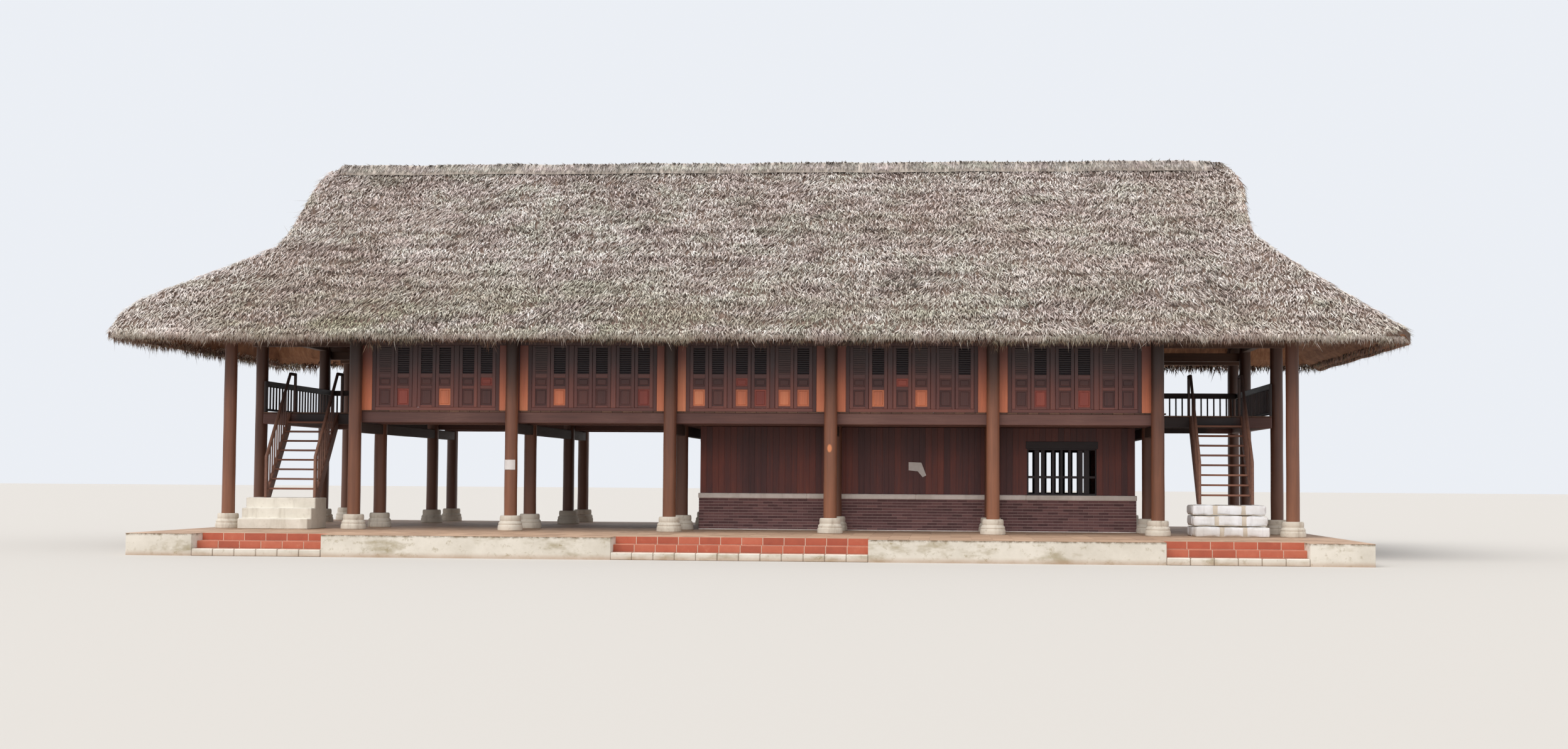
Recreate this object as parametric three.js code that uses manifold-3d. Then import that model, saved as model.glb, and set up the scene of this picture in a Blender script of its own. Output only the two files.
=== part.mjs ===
import * as THREE from "three";
import { mergeVertices } from "three/addons/utils/BufferGeometryUtils.js";
import Module from "manifold-3d";

const wasm = await Module();
wasm.setup();

// Millimetres, +Z up, +Y away from the front, origin at the middle of the house on the ground.

// Plan: eight post frames across the house and four rows of posts from front to rear.
const frameX = [-11250, -8500, -5100, -1700, 1700, 5100, 8500, 11250];
const rowY = [-2860, -860, 3740, 5740];
const midY = 1440;
const gap = 0.3;

// Plinth and its recessed front steps.
const plinthTop = 430;
const plinthEnds = [-11785, 12060];
const plinthFront = -7040;
const plinthRear = 6340;
const stepRise = 143;
const stepGoing = 300;
const stepSpans = { left: [-10460, -7900], centre: [-2250, 2660], right: [8230, 10860] };

// Posts, their stone bases, tie beams and rafters.
const postRadius = 140;
const baseProfile = [[265, 0], [262, 110], [218, 190], [216, 320]];
const postSides = 12;
const beamWidth = 160;
const floorTieLow = plinthTop + 2070;
const floorTieHigh = plinthTop + 2287;
const roofTieLow = plinthTop + 4220;
const roofTieHigh = plinthTop + 4420;
const rafterDepth = 180;

// Long beams: under the floor and at the head of the walls.
const floorBeamLow = plinthTop + 2287 + gap;
const floorBeamHigh = plinthTop + 2520;
const eaveBeamLow = plinthTop + 4020;
const eaveBeamHigh = roofTieLow - gap;
const longBeamHalf = 11390;

// Upper floor.
const deckTop = plinthTop + 2550;
const hallHalf = 8640;
const galleryEdge = 11107;

// Thatch: the slope of front and rear, its eaves, and the profiles of the two hip ends.
const roofSlope = 0.771;
const eaveFront = -4160;
const eaveRear = 7040;
const eaveTop = plinthTop + 4140;
const thatchDrop = 220;
const gableLeft = [[10650, 7680], [10610, 8090], [10450, 8370], [10200, 8470]];
const gableRight = [[10740, 7470], [10720, 7870], [10640, 8220], [10440, 8440], [10250, 8470]];
const gableInner = 10350;
const slopeHalf = 10300;
const leftHip = [[10670, 6670], [10850, 6250], [12060, 5600], [13190, 5000], [13450, 4690], [13550, 4140]];
const rightHip = [[10760, 6600], [10920, 6370], [11210, 6070], [12170, 5250], [13100, 4470], [13550, 4140]];
const hipShift = [-100, -190];
const cornerRadius = { left: 250, right: 850 };
const slopeCourses = 12;
const hipCourses = 6;
const courseStep = 45;
const capHalf = 10150;
const capThickness = 70;
const capWidth = 300;

// Walls of the upper hall.
const wallLow = deckTop + gap;
const wallHigh = eaveBeamLow - gap;
const wallDepth = 60;
const wallFace = rowY[0] + postRadius + 10;
const jambBoard = 390;
const sillHeight = 70;
const headHeight = 70;
const leafWidth = 399;
const mullion = 110;
const leafStile = 70;
const panelRows = [[45, 400], [465, 640], [725, 1285]];
const endWallOuter = 8359.7;
const endWallDepth = 75;
const endDoor = [940, 1940];
const endDoorTop = plinthTop + 4200;
const endWallTop = plinthTop + 5200;

// Lower room.
const roomX = [-1350, 8270];
const roomY = [-585, 3470];
const dadoThick = 110;
const copingLow = plinthTop + 700;
const copingHigh = plinthTop + 810;
const boardThick = 40;
const boardInset = 25;
const frontWindow = [5900, 7410];
const rearWindow = [6050, 7560];
const windowTop = plinthTop + 1830;
const roomDoorWidth = 1000;
const roomDoorTop = plinthTop + 2000;

// Stairs to the galleries, with their masonry feet.
const stairCentre = { left: -9960, right: 9920 };
const stairHalf = 540;
const footSpan = { left: [-10870, -9350], right: [9200, 10720] };
const footRise = 220;
const footFronts = [-3350, -3090, -2830];
const footRear = { left: -2050, right: -1830 };
const stairFoot = -2700;
const stringerWidth = 60;
const stringerDepth = 230;
const treadThick = 40;
const treadDepth = 230;
const treadCount = 8;
const handRail = 60;
const newelTop = plinthTop + 3440;
const loopRun = 380;

// Gallery railings.
const railTop = plinthTop + 3250;
const railThick = 50;
const balusterPitch = 180;
const balusterGap = 135;

const wood = (color, roughness = 0.8) => new THREE.MeshStandardMaterial({ color, roughness, metalness: 0 });
const house = new THREE.Group();

function addMesh(name, geometry, material) {
  const mesh = new THREE.Mesh(geometry, material);
  mesh.name = name;
  house.add(mesh);
}

function box(x0, x1, y0, y1, z0, z1) {
  const geometry = new THREE.BoxGeometry(x1 - x0, y1 - y0, z1 - z0);
  return geometry.translate((x0 + x1) / 2, (y0 + y1) / 2, (z0 + z1) / 2);
}

function extrude(points, depth) {
  const shape = new THREE.Shape(points.map(([x, y]) => new THREE.Vector2(x, y)));
  return new THREE.ExtrudeGeometry(shape, { depth, bevelEnabled: false });
}

// Outline in Y and Z, drawn out along X.
function alongX(points, x0, x1) {
  const geometry = extrude(points, x1 - x0);
  const turn = new THREE.Matrix4().makeBasis(
    new THREE.Vector3(0, 1, 0), new THREE.Vector3(0, 0, 1), new THREE.Vector3(1, 0, 0));
  return geometry.applyMatrix4(turn).translate(x0, 0, 0);
}

// Outline in X and Z, drawn out along Y.
function alongY(points, y0, y1) {
  return extrude(points, y1 - y0).rotateX(Math.PI / 2).translate(0, y1, 0);
}

// Outline in X and Y, drawn upwards.
function upwards(points, z0, z1) {
  return extrude(points, z1 - z0).translate(0, 0, z0);
}

function toSolid(geometry) {
  const bare = geometry.clone();
  bare.deleteAttribute("normal");
  bare.deleteAttribute("uv");
  const merged = mergeVertices(bare, 0.001);
  return new wasm.Manifold(new wasm.Mesh({
    numProp: 3,
    vertProperties: new Float32Array(merged.attributes.position.array),
    triVerts: new Uint32Array(merged.index.array),
  }));
}

function toGeometry(solid) {
  const mesh = solid.getMesh();
  const geometry = new THREE.BufferGeometry();
  geometry.setAttribute("position", new THREE.BufferAttribute(new Float32Array(mesh.vertProperties), 3));
  geometry.setIndex(new THREE.BufferAttribute(new Uint32Array(mesh.triVerts), 1));
  geometry.computeVertexNormals();
  return geometry;
}

const join = (geometries) => geometries.map(toSolid).reduce((a, b) => a.add(b));
const cut = (solid, geometries) => geometries.map(toSolid).reduce((a, b) => a.subtract(b), solid);

// Plinth with the recesses for its steps.
const plinthCuts = Object.values(stepSpans).map(([x0, x1]) =>
  box(x0, x1, plinthFront - 50, plinthFront + 2 * stepGoing, -50, plinthTop + 50));
const plinthBody = toSolid(box(...plinthEnds, plinthFront, plinthRear, 0, plinthTop));
addMesh("plinth", toGeometry(cut(plinthBody, plinthCuts)), wood(0xb9b2a4, 0.9));

for (const [side, [x0, x1]] of Object.entries(stepSpans)) {
  const y0 = plinthFront;
  const y1 = plinthFront + stepGoing;
  const y2 = plinthFront + 2 * stepGoing - gap;
  const profile = [[y0, 0], [y2, 0], [y2, 2 * stepRise], [y1, 2 * stepRise], [y1, stepRise], [y0, stepRise]];
  addMesh(`${side}_steps`, alongX(profile, x0 + gap, x1 - gap), wood(0xb4553c, 0.85));
}

// Underside of the thatch along the slope, and of a hip end at a given distance from the middle.
const undersideAt = (y) => eaveTop - thatchDrop + roofSlope * (Math.min(y, 2 * midY - y) - eaveFront);
function hipUnderside(profile, x) {
  const points = profile.map(([px, pz]) => [px + hipShift[0], plinthTop + pz + hipShift[1]]);
  const i = points.findIndex(([px]) => px >= x);
  const [x0, z0] = points[i - 1];
  const [x1, z1] = points[i];
  return z0 + (z1 - z0) * (x - x0) / (x1 - x0);
}

// Post frames: four posts on stone bases, a tie beam, and rafters that follow the thatch.
function postFrame(x, index) {
  const outer = index === 0 || index === frameX.length - 1;
  const hip = index === 0 ? leftHip : rightHip;
  const half = beamWidth / 2;
  const ceiling = outer
    ? Math.min(hipUnderside(hip, Math.abs(x) - half), hipUnderside(hip, Math.abs(x) + half)) - gap
    : undersideAt(midY) - gap;
  const eaveY = eaveFront + 60;
  const low = undersideAt(eaveY) - gap;
  const bendY = Math.min(midY, eaveY + (ceiling - low) / roofSlope);
  const rise = [[eaveY, low], [bendY, ceiling]];
  const path = outer ? [...rise, [2 * midY - bendY, ceiling], [2 * midY - eaveY, low]]
    : [...rise, [2 * midY - eaveY, low]];
  const under = path.map(([y, z]) => [y, z - rafterDepth]).reverse();
  const parts = [alongX([...path, ...under].reverse(), x - half, x + half)];
  parts.push(box(x - half, x + half, rowY[0] - postRadius, rowY[3] + postRadius, roofTieLow, roofTieHigh));
  if (!outer) {
    parts.push(box(x - half, x + half, rowY[0] - 60, rowY[3] + 60, floorTieLow, floorTieHigh));
  }
  for (const y of rowY) {
    const top = Math.min(undersideAt(y - postRadius), undersideAt(y + postRadius), ceiling) - 60;
    const foot = plinthTop + gap;
    const height = top - foot - 200;
    const post = new THREE.CylinderGeometry(postRadius, postRadius, height, postSides);
    parts.push(post.rotateX(Math.PI / 2).translate(x, y, foot + 200 + height / 2));
    const profile = [[0, 0], ...baseProfile, [0, 320]].map(([r, z]) => new THREE.Vector2(r, z));
    parts.push(new THREE.LatheGeometry(profile, postSides).rotateX(Math.PI / 2).translate(x, y, foot));
  }
  return join(parts);
}
frameX.forEach((x, index) => {
  addMesh(`post_frame_${index + 1}`, toGeometry(postFrame(x, index)), wood(0x5a3a2c));
});

// Long beams beside the posts, under the floor.
const beamFaces = [
  [rowY[0] + postRadius + gap, rowY[0] + 300],
  [rowY[1] - 300, rowY[1] - postRadius - gap],
  [rowY[2] + postRadius + gap, rowY[2] + 300],
  [rowY[3] - 300, rowY[3] - postRadius - gap],
];
const beamWood = wood(0x54392d);
addMesh("front_floor_beam", box(-hallHalf, hallHalf, ...beamFaces[0], floorBeamLow, floorBeamHigh), beamWood);
addMesh("rear_floor_beam", box(-hallHalf, hallHalf, ...beamFaces[3], floorBeamLow, floorBeamHigh), beamWood);
const ringBeams = [
  box(-longBeamHalf, longBeamHalf, ...beamFaces[1], floorBeamLow, floorBeamHigh),
  box(-longBeamHalf, longBeamHalf, ...beamFaces[2], floorBeamLow, floorBeamHigh),
];
for (const side of [-1, 1]) {
  const x = [side * (galleryEdge - 157), side * galleryEdge].sort((a, b) => a - b);
  ringBeams.push(box(x[0], x[1], beamFaces[1][1] - 50, beamFaces[2][0] + 50, floorBeamLow, floorBeamHigh));
}
addMesh("middle_floor_beams", toGeometry(join(ringBeams)), beamWood);
["front_eave_beam", "front_inner_beam", "rear_inner_beam", "rear_eave_beam"].forEach((name, row) => {
  const faces = row === 3 ? beamFaces[3] : beamFaces[row];
  addMesh(name, box(-longBeamHalf, longBeamHalf, ...faces, eaveBeamLow, eaveBeamHigh), beamWood);
});

// Upper floor with square notches round the posts that pass through it.
const deckLow = floorBeamHigh + gap;
const deckParts = [box(-hallHalf, hallHalf, beamFaces[0][0], beamFaces[3][1], deckLow, deckTop)];
for (const side of [-1, 1]) {
  const x = [side * (hallHalf - 50), side * galleryEdge].sort((a, b) => a - b);
  deckParts.push(box(x[0], x[1], beamFaces[1][0], beamFaces[2][1], deckLow, deckTop));
}
const notch = postRadius + gap;
const deckCuts = frameX.slice(1, -1).flatMap((x) => [rowY[1], rowY[2]].map((y) =>
  box(x - notch, x + notch, y - notch, y + notch, deckLow - 50, deckTop + 50)));
addMesh("upper_floor", toGeometry(cut(join(deckParts), deckCuts)), wood(0x6a4a36));

// Front and rear walls of the hall: a frame with five openings, and folding shutters in each.
const bays = frameX.slice(1, -2).map((x, i) => [x + jambBoard, frameX[i + 2] - jambBoard]);
const openLow = wallLow + sillHeight;
const openHigh = wallHigh - headHeight;
function wallFrame(face) {
  const holes = bays.map(([x0, x1]) => box(x0, x1, face - 50, face + 200, openLow, openHigh));
  return cut(toSolid(box(-endWallOuter, endWallOuter, face, face + wallDepth, wallLow, wallHigh)), holes);
}
function shutterSet([x0, x1], face, slack) {
  const low = openLow + slack;
  const high = openHigh - slack;
  const width = x1 - x0 - 2 * slack;
  const side = (width - 6 * leafWidth - 2 * mullion) / 2;
  const back = face < midY ? [face + 24, face + 45] : [face + 15, face + 36];
  const front = face < midY ? [face + 8, face + 25] : [face + 35, face + 52];
  const holes = [];
  for (let leaf = 0; leaf < 6; leaf += 1) {
    const start = x0 + slack + side + leaf * leafWidth + Math.floor(leaf / 2) * mullion;
    for (const [z0, z1] of panelRows) {
      holes.push(box(start + leafStile, start + leafWidth - leafStile, front[0] - 50, front[1] + 50,
        low + z0, low + z1));
    }
  }
  const lattice = cut(toSolid(box(x0 + slack, x1 - slack, ...front, low, high)), holes);
  return lattice.add(toSolid(box(x0 + slack, x1 - slack, ...back, low, high)));
}
const wallWood = wood(0x6b3a2a);
addMesh("front_wall", toGeometry(wallFrame(wallFace)), wallWood);
bays.forEach((bay, i) => {
  addMesh(`front_shutters_bay_${i + 1}`, toGeometry(shutterSet(bay, wallFace, gap)), wood(0x4d2c24));
});
const rearFace = 2 * midY - wallFace - wallDepth;
const rearSets = bays.map((bay) => shutterSet(bay, rearFace, -1));
addMesh("rear_wall", toGeometry(rearSets.reduce((a, b) => a.add(b), wallFrame(rearFace))), wallWood);

// End walls of the hall, split beside and over the doorway to each gallery.
for (const [side, sign] of [["left", -1], ["right", 1]]) {
  const x = [sign * endWallOuter, sign * (endWallOuter - endWallDepth)].sort((a, b) => a - b);
  const front = wallFace + wallDepth + gap;
  const rear = rearFace - gap;
  const frontStep = beamFaces[1][1] + gap;
  const rearStep = beamFaces[2][0] - gap;
  const frontPart = [[front, wallLow], [endDoor[0], wallLow], [endDoor[0], endWallTop],
    [frontStep, endWallTop], [frontStep, wallHigh], [front, wallHigh]];
  const rearPart = [[endDoor[1], wallLow], [rear, wallLow], [rear, wallHigh],
    [rearStep, wallHigh], [rearStep, endWallTop], [endDoor[1], endWallTop]];
  addMesh(`${side}_end_wall_front`, alongX(frontPart, x[0], x[1]), wallWood);
  addMesh(`${side}_end_wall_rear`, alongX(rearPart, x[0], x[1]), wallWood);
  addMesh(`${side}_end_wall_over_door`,
    box(x[0], x[1], endDoor[0] + gap, endDoor[1] - gap, endDoorTop, endWallTop), wallWood);
}

// Lower room: brick dado with its coping, board walls over it, two windows and a doorway.
const dadoPaint = wood(0x4a3538, 0.9);
const dadoLow = plinthTop + gap;
const copingReach = 15;
function dadoWall(x0, x1, y0, y1, ends) {
  const wall = box(x0, x1, y0, y1, dadoLow, copingLow + 10);
  const [west, east, south, north] = ends;
  const coping = box(x0 - west, x1 + east, y0 - south, y1 + north, copingLow, copingHigh);
  return toGeometry(join([wall, coping]));
}
const r = copingReach;
const innerY = [roomY[0] + dadoThick, roomY[1] - dadoThick];
const sideLow = innerY[0] + r + gap;
const sideHigh = innerY[1] - r - gap;
const doorRear = innerY[0] + roomDoorWidth;
addMesh("room_front_dado", dadoWall(roomX[0], roomX[1], roomY[0], innerY[0], [r, r, r, r]), dadoPaint);
addMesh("room_rear_dado", dadoWall(roomX[0], roomX[1], innerY[1], roomY[1], [r, r, r, r]), dadoPaint);
addMesh("room_right_dado", dadoWall(roomX[1] - dadoThick, roomX[1], sideLow, sideHigh, [r, r, 0, 0]), dadoPaint);
addMesh("room_left_dado", dadoWall(roomX[0], roomX[0] + dadoThick, doorRear, sideHigh, [r, r, 0, 0]), dadoPaint);

const boardLow = copingHigh + gap;
const boardHigh = floorTieHigh;
const boardPaint = wood(0x43242a);
const bi = boardInset;
const boardX = [roomX[0] + bi, roomX[1] - bi];
const boardY = [roomY[0] + bi, roomY[1] - bi];
const tieCuts = [frameX[4], frameX[5]].map((x) =>
  box(x - beamWidth / 2 - gap, x + beamWidth / 2 + gap, -2000, 5000, floorTieLow - gap, floorTieHigh + 50));
function longBoards(name, y0, [x0, x1]) {
  const y1 = y0 + boardThick;
  const left = cut(toSolid(box(boardX[0], x0, y0, y1, boardLow, boardHigh)), tieCuts);
  addMesh(`room_${name}_boards_left`, toGeometry(left), boardPaint);
  addMesh(`room_${name}_boards_right`, box(x1, boardX[1], y0, y1, boardLow, boardHigh), boardPaint);
  addMesh(`room_${name}_boards_over_window`,
    box(x0 + gap, x1 - gap, y0, y1, windowTop, boardHigh), boardPaint);
}
longBoards("front", boardY[0], frontWindow);
longBoards("rear", boardY[1] - boardThick, rearWindow);
const sideY = [boardY[0] + boardThick + gap, boardY[1] - boardThick - gap];
addMesh("room_right_boards", box(boardX[1] - boardThick, boardX[1], ...sideY, boardLow, boardHigh), boardPaint);
addMesh("room_left_boards",
  box(boardX[0], boardX[0] + boardThick, doorRear, sideY[1], boardLow, boardHigh), boardPaint);
addMesh("room_door_lintel",
  box(boardX[0], boardX[0] + boardThick, sideY[0], doorRear - gap, roomDoorTop, boardHigh), boardPaint);

// Thatch: one hollow shell, parted into two slopes and two hip ends, with a cap along the ridge.
const eaveLow = eaveTop - thatchDrop;
const ridgeTop = eaveTop + roofSlope * (midY - eaveFront);
function laidInCourses(line, count) {
  const spans = line.slice(1).map(([x, z], i) => Math.hypot(x - line[i][0], z - line[i][1]));
  const reach = spans.map((_, i) => spans.slice(0, i + 1).reduce((a, b) => a + b));
  const length = reach[reach.length - 1];
  const at = (s) => {
    const i = Math.min(reach.findIndex((r) => r >= s - 0.001), spans.length - 1);
    const t = (s - reach[i] + spans[i]) / spans[i];
    return [0, 1].map((axis) => line[i][axis] + t * (line[i + 1][axis] - line[i][axis]));
  };
  const points = [line[0]];
  for (let course = 0; course < count; course += 1) {
    const [low, high] = [course, course + 1].map((n) => length * n / count);
    const step = course === count - 1 ? 0 : courseStep;
    reach.filter((r) => r > low + 1 && r < high - 1).forEach((r) => {
      const [x, z] = at(r);
      points.push([x, z - step * (r - low) / (high - low)]);
    });
    const [x, z] = at(high);
    if (step > 0) points.push([x, z - step]);
    points.push([x, z]);
  }
  return points;
}
const frontCourses = laidInCourses([[eaveFront, eaveTop], [midY, ridgeTop]], slopeCourses);
const rearCourses = frontCourses.slice(0, -1).map(([y, z]) => [2 * midY - y, z]).reverse();
const slopeSection = [[eaveFront, eaveLow], ...frontCourses, ...rearCourses, [eaveRear, eaveLow]].reverse();
const hollowSection = [[eaveFront, eaveLow - 900], [eaveRear, eaveLow - 900], [eaveRear, eaveLow],
  [midY, ridgeTop - thatchDrop], [eaveFront, eaveLow]];
const place = (points, sign, [dx, dz]) => points.map(([x, z]) => [sign * (x + dx), plinthTop + z + dz]);
function hipOutline(low, shift, courses) {
  const right = place(rightHip, 1, shift).reverse();
  const left = place(leftHip, -1, shift).reverse();
  const [rightLine, leftLine] = courses ? [right, left].map((line) => laidInCourses(line, courses)) : [right, left];
  return [[left[0][0], low], [right[0][0], low], ...rightLine, ...leftLine.reverse()];
}
const [gableWest, gableEast] = [place(gableLeft, -1, [0, 0]), place(gableRight, 1, [0, 0])];
const gableOutline = [[gableWest[0][0], eaveLow], [gableEast[0][0], eaveLow], ...gableEast, ...gableWest.reverse()];
const roundedPlan = [];
const roofHalf = leftHip[leftHip.length - 1][0];
for (const [sx, sy, start] of [[1, 1, 0], [-1, 1, 90], [-1, -1, 180], [1, -1, 270]]) {
  const radius = sx < 0 ? cornerRadius.left : cornerRadius.right;
  const cx = sx * (roofHalf - radius);
  const cy = midY + sy * (midY - eaveFront - radius);
  for (const turn of [0, 30, 60, 90]) {
    const angle = THREE.MathUtils.degToRad(start + turn);
    roundedPlan.push([cx + radius * Math.cos(angle), cy + radius * Math.sin(angle)]);
  }
}
const wholeSlope = toSolid(alongX(slopeSection, -roofHalf - 100, roofHalf + 100));
const wholeHollow = toSolid(alongX(hollowSection, -roofHalf - 100, roofHalf + 100));
const planSolid = toSolid(upwards(roundedPlan, eaveLow - 100, ridgeTop + 100));
const hipSolid = toSolid(alongY(hipOutline(eaveLow, [0, 0], hipCourses), eaveFront - 50, eaveRear + 50));
const gableSolid = toSolid(alongY(gableOutline, eaveFront - 50, eaveRear + 50));
const hipHollow = toSolid(alongY(hipOutline(eaveLow - 900, hipShift, 0), eaveFront - 50, eaveRear + 50));
const gableHollow = toSolid(box(-gableInner, gableInner, eaveFront - 50, eaveRear + 50, eaveLow, ridgeTop));
const outside = wholeSlope.intersect(hipSolid.add(gableSolid)).intersect(planSolid);
const inside = wholeHollow.intersect(hipHollow.add(gableHollow));
const shell = outside.subtract(inside);
const far = 20000;
const region = {
  front_thatch: [-slopeHalf, slopeHalf, -far, midY - gap / 2],
  rear_thatch: [-slopeHalf, slopeHalf, midY + gap / 2, far],
  left_hip_thatch: [-far, -slopeHalf - gap, -far, far],
  right_hip_thatch: [slopeHalf + gap, far, -far, far],
};
const thatch = wood(0x9c8c74, 0.95);
for (const [name, [x0, x1, y0, y1]] of Object.entries(region)) {
  addMesh(name, toGeometry(shell.intersect(toSolid(box(x0, x1, y0, y1, 0, far)))), thatch);
}
const capDrop = capWidth * roofSlope;
const capSection = [[midY - capWidth, ridgeTop + gap - capDrop], [midY, ridgeTop + gap],
  [midY + capWidth, ridgeTop + gap - capDrop], [midY + capWidth, ridgeTop + capThickness - capDrop],
  [midY, ridgeTop + capThickness], [midY - capWidth, ridgeTop + capThickness - capDrop]];
addMesh("ridge_cap", alongX(capSection, -capHalf, capHalf), wood(0xb3a58c, 0.95));

// Stairs with stringers, treads, and handrails whose looped tops stand on the gallery.
function stair(centre) {
  const foot = plinthTop + 3 * footRise + gap;
  const head = beamFaces[1][0] - gap;
  const rise = deckTop - foot;
  const run = head - stairFoot;
  const parts = [];
  const drop = stringerDepth * Math.hypot(rise, run) / run;
  const stringer = [[stairFoot, foot], [stairFoot + drop * run / rise, foot], [head, deckTop - drop],
    [head, deckTop], [stairFoot, foot + 1]];
  const railLow = newelTop - rise - handRail;
  const railPath = [[stairFoot, foot], [stairFoot + handRail, foot], [stairFoot + handRail, railLow],
    [head, newelTop - handRail], [head + loopRun - handRail, newelTop - handRail],
    [head + loopRun - handRail, wallLow], [head + loopRun, wallLow], [head + loopRun, newelTop],
    [head - 20, newelTop], [stairFoot, railLow + handRail]];
  for (const sign of [-1, 1]) {
    const middle = centre + sign * stairHalf;
    const x0 = middle - stringerWidth / 2;
    parts.push(alongX(stringer, x0, x0 + stringerWidth));
    parts.push(alongX(railPath, x0, x0 + stringerWidth));
  }
  for (let i = 1; i <= treadCount; i += 1) {
    const part = i / (treadCount + 1);
    const y = stairFoot + part * run;
    const z = foot + part * rise;
    const rear = Math.min(y - 30 + treadDepth, head);
    parts.push(box(centre - stairHalf, centre + stairHalf, y - 30, rear, z - treadThick, z));
  }
  return join(parts);
}
for (const side of ["left", "right"]) {
  addMesh(`${side}_stair`, toGeometry(stair(stairCentre[side])), wood(0x5b3b2e));
  const [x0, x1] = footSpan[side];
  const low = plinthTop + gap;
  const z = [1, 2, 3].map((i) => plinthTop + i * footRise);
  const profile = [[footFronts[0], low], [footRear[side], low], [footRear[side], z[2]], [footFronts[2], z[2]],
    [footFronts[2], z[1]], [footFronts[1], z[1]], [footFronts[1], z[0]], [footFronts[0], z[0]]];
  addMesh(`${side}_stair_foot`, alongX(profile, x0, x1), wood(0xd8d2c6, 0.9));
}

// Gallery railings: balusters between rails along the end and the rear of each gallery.
function railing(sign) {
  const x = [sign * (galleryEdge - railThick), sign * galleryEdge].sort((a, b) => a - b);
  const span = [sign * galleryEdge, sign * (hallHalf + 20)].sort((a, b) => a - b);
  const y = [beamFaces[1][0] + 20, beamFaces[2][0] + 10 + railThick];
  const rearY = [y[1] - railThick, y[1]];
  const low = wallLow + 60;
  const high = railTop - 80;
  const holes = [];
  for (let at = y[0] + 60; at + balusterGap < rearY[0] - 20; at += balusterPitch) {
    holes.push(box(x[0] - 50, x[1] + 50, at, at + balusterGap, low, high));
  }
  for (let at = span[0] + railThick + 20; at + balusterGap < span[1] - railThick; at += balusterPitch) {
    holes.push(box(at, at + balusterGap, rearY[0] - 50, rearY[1] + 50, low, high));
  }
  return cut(join([box(...x, ...y, wallLow, railTop), box(...span, ...rearY, wallLow, railTop)]), holes);
}
addMesh("left_gallery_railing", toGeometry(railing(-1)), wood(0x3a2620));
addMesh("right_gallery_railing", toGeometry(railing(1)), wood(0x3a2620));

export default house;
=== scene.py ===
import math

import bmesh
import bpy
import numpy as np
from mathutils import Matrix, Vector, noise


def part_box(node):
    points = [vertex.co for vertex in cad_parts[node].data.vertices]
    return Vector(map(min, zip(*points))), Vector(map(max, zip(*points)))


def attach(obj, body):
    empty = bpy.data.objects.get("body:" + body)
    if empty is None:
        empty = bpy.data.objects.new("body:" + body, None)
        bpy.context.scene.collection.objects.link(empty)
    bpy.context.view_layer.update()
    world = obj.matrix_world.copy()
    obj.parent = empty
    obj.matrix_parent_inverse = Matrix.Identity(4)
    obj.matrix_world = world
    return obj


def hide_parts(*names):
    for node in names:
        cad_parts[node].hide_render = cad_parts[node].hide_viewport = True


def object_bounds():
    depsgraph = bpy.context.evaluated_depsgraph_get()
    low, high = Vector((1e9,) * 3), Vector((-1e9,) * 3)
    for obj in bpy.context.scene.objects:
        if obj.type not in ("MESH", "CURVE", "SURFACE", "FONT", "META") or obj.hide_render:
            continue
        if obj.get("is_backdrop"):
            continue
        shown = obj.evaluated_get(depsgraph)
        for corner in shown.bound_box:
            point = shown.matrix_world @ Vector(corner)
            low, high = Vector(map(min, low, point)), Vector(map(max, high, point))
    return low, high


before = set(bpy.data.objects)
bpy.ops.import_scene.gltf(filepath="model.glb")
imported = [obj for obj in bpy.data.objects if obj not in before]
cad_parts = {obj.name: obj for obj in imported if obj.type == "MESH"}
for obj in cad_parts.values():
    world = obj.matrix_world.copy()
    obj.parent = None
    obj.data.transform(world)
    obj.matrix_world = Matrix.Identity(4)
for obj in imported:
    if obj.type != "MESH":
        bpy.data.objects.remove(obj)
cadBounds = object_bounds()
scene = bpy.context.scene
noise.seed_set(5)  # the same uneven surfaces each time
print("frame loaded:", len(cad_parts), "solids")


# Places read from the frame, in metres: +X to the right, +Y to the rear, +Z up.

beamReach = 0.3  # from the line of a row of posts to the far face of the beam beside it
postRadius = 0.14
postX = [sum(corner.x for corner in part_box(f"post_frame_{i}")) / 2 for i in range(1, 9)]
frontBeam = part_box("front_floor_beam")
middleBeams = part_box("middle_floor_beams")
rowY = [frontBeam[1].y - beamReach, middleBeams[0].y + beamReach, middleBeams[1].y - beamReach,
        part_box("rear_floor_beam")[0].y + beamReach]
midY = (rowY[1] + rowY[2]) / 2
plinthLow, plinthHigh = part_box("plinth")
plinthTop = plinthHigh.z
deckLow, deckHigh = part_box("upper_floor")
wallLow, wallHigh = [corner.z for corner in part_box("front_wall")]
frontFace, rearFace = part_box("front_wall")[0].y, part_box("rear_wall")[1].y
eaveLow, ridgeTop = [corner.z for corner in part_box("front_thatch")]
eaveFront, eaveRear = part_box("front_thatch")[0].y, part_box("rear_thatch")[1].y
thatchDrop = 0.22
eaveTop = eaveLow + thatchDrop
roofSlope = (ridgeTop - eaveTop) / (midY - eaveFront)
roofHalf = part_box("right_hip_thatch")[1].x


# Shader tools. A colour is written as it shows on a screen, from 0 to 255.

def paintTone(colour):
    values = [c / 255 for c in colour]
    return tuple(c / 12.92 if c < 0.04045 else ((c + 0.055) / 1.055) ** 2.4 for c in values) + (1.0,)


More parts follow.
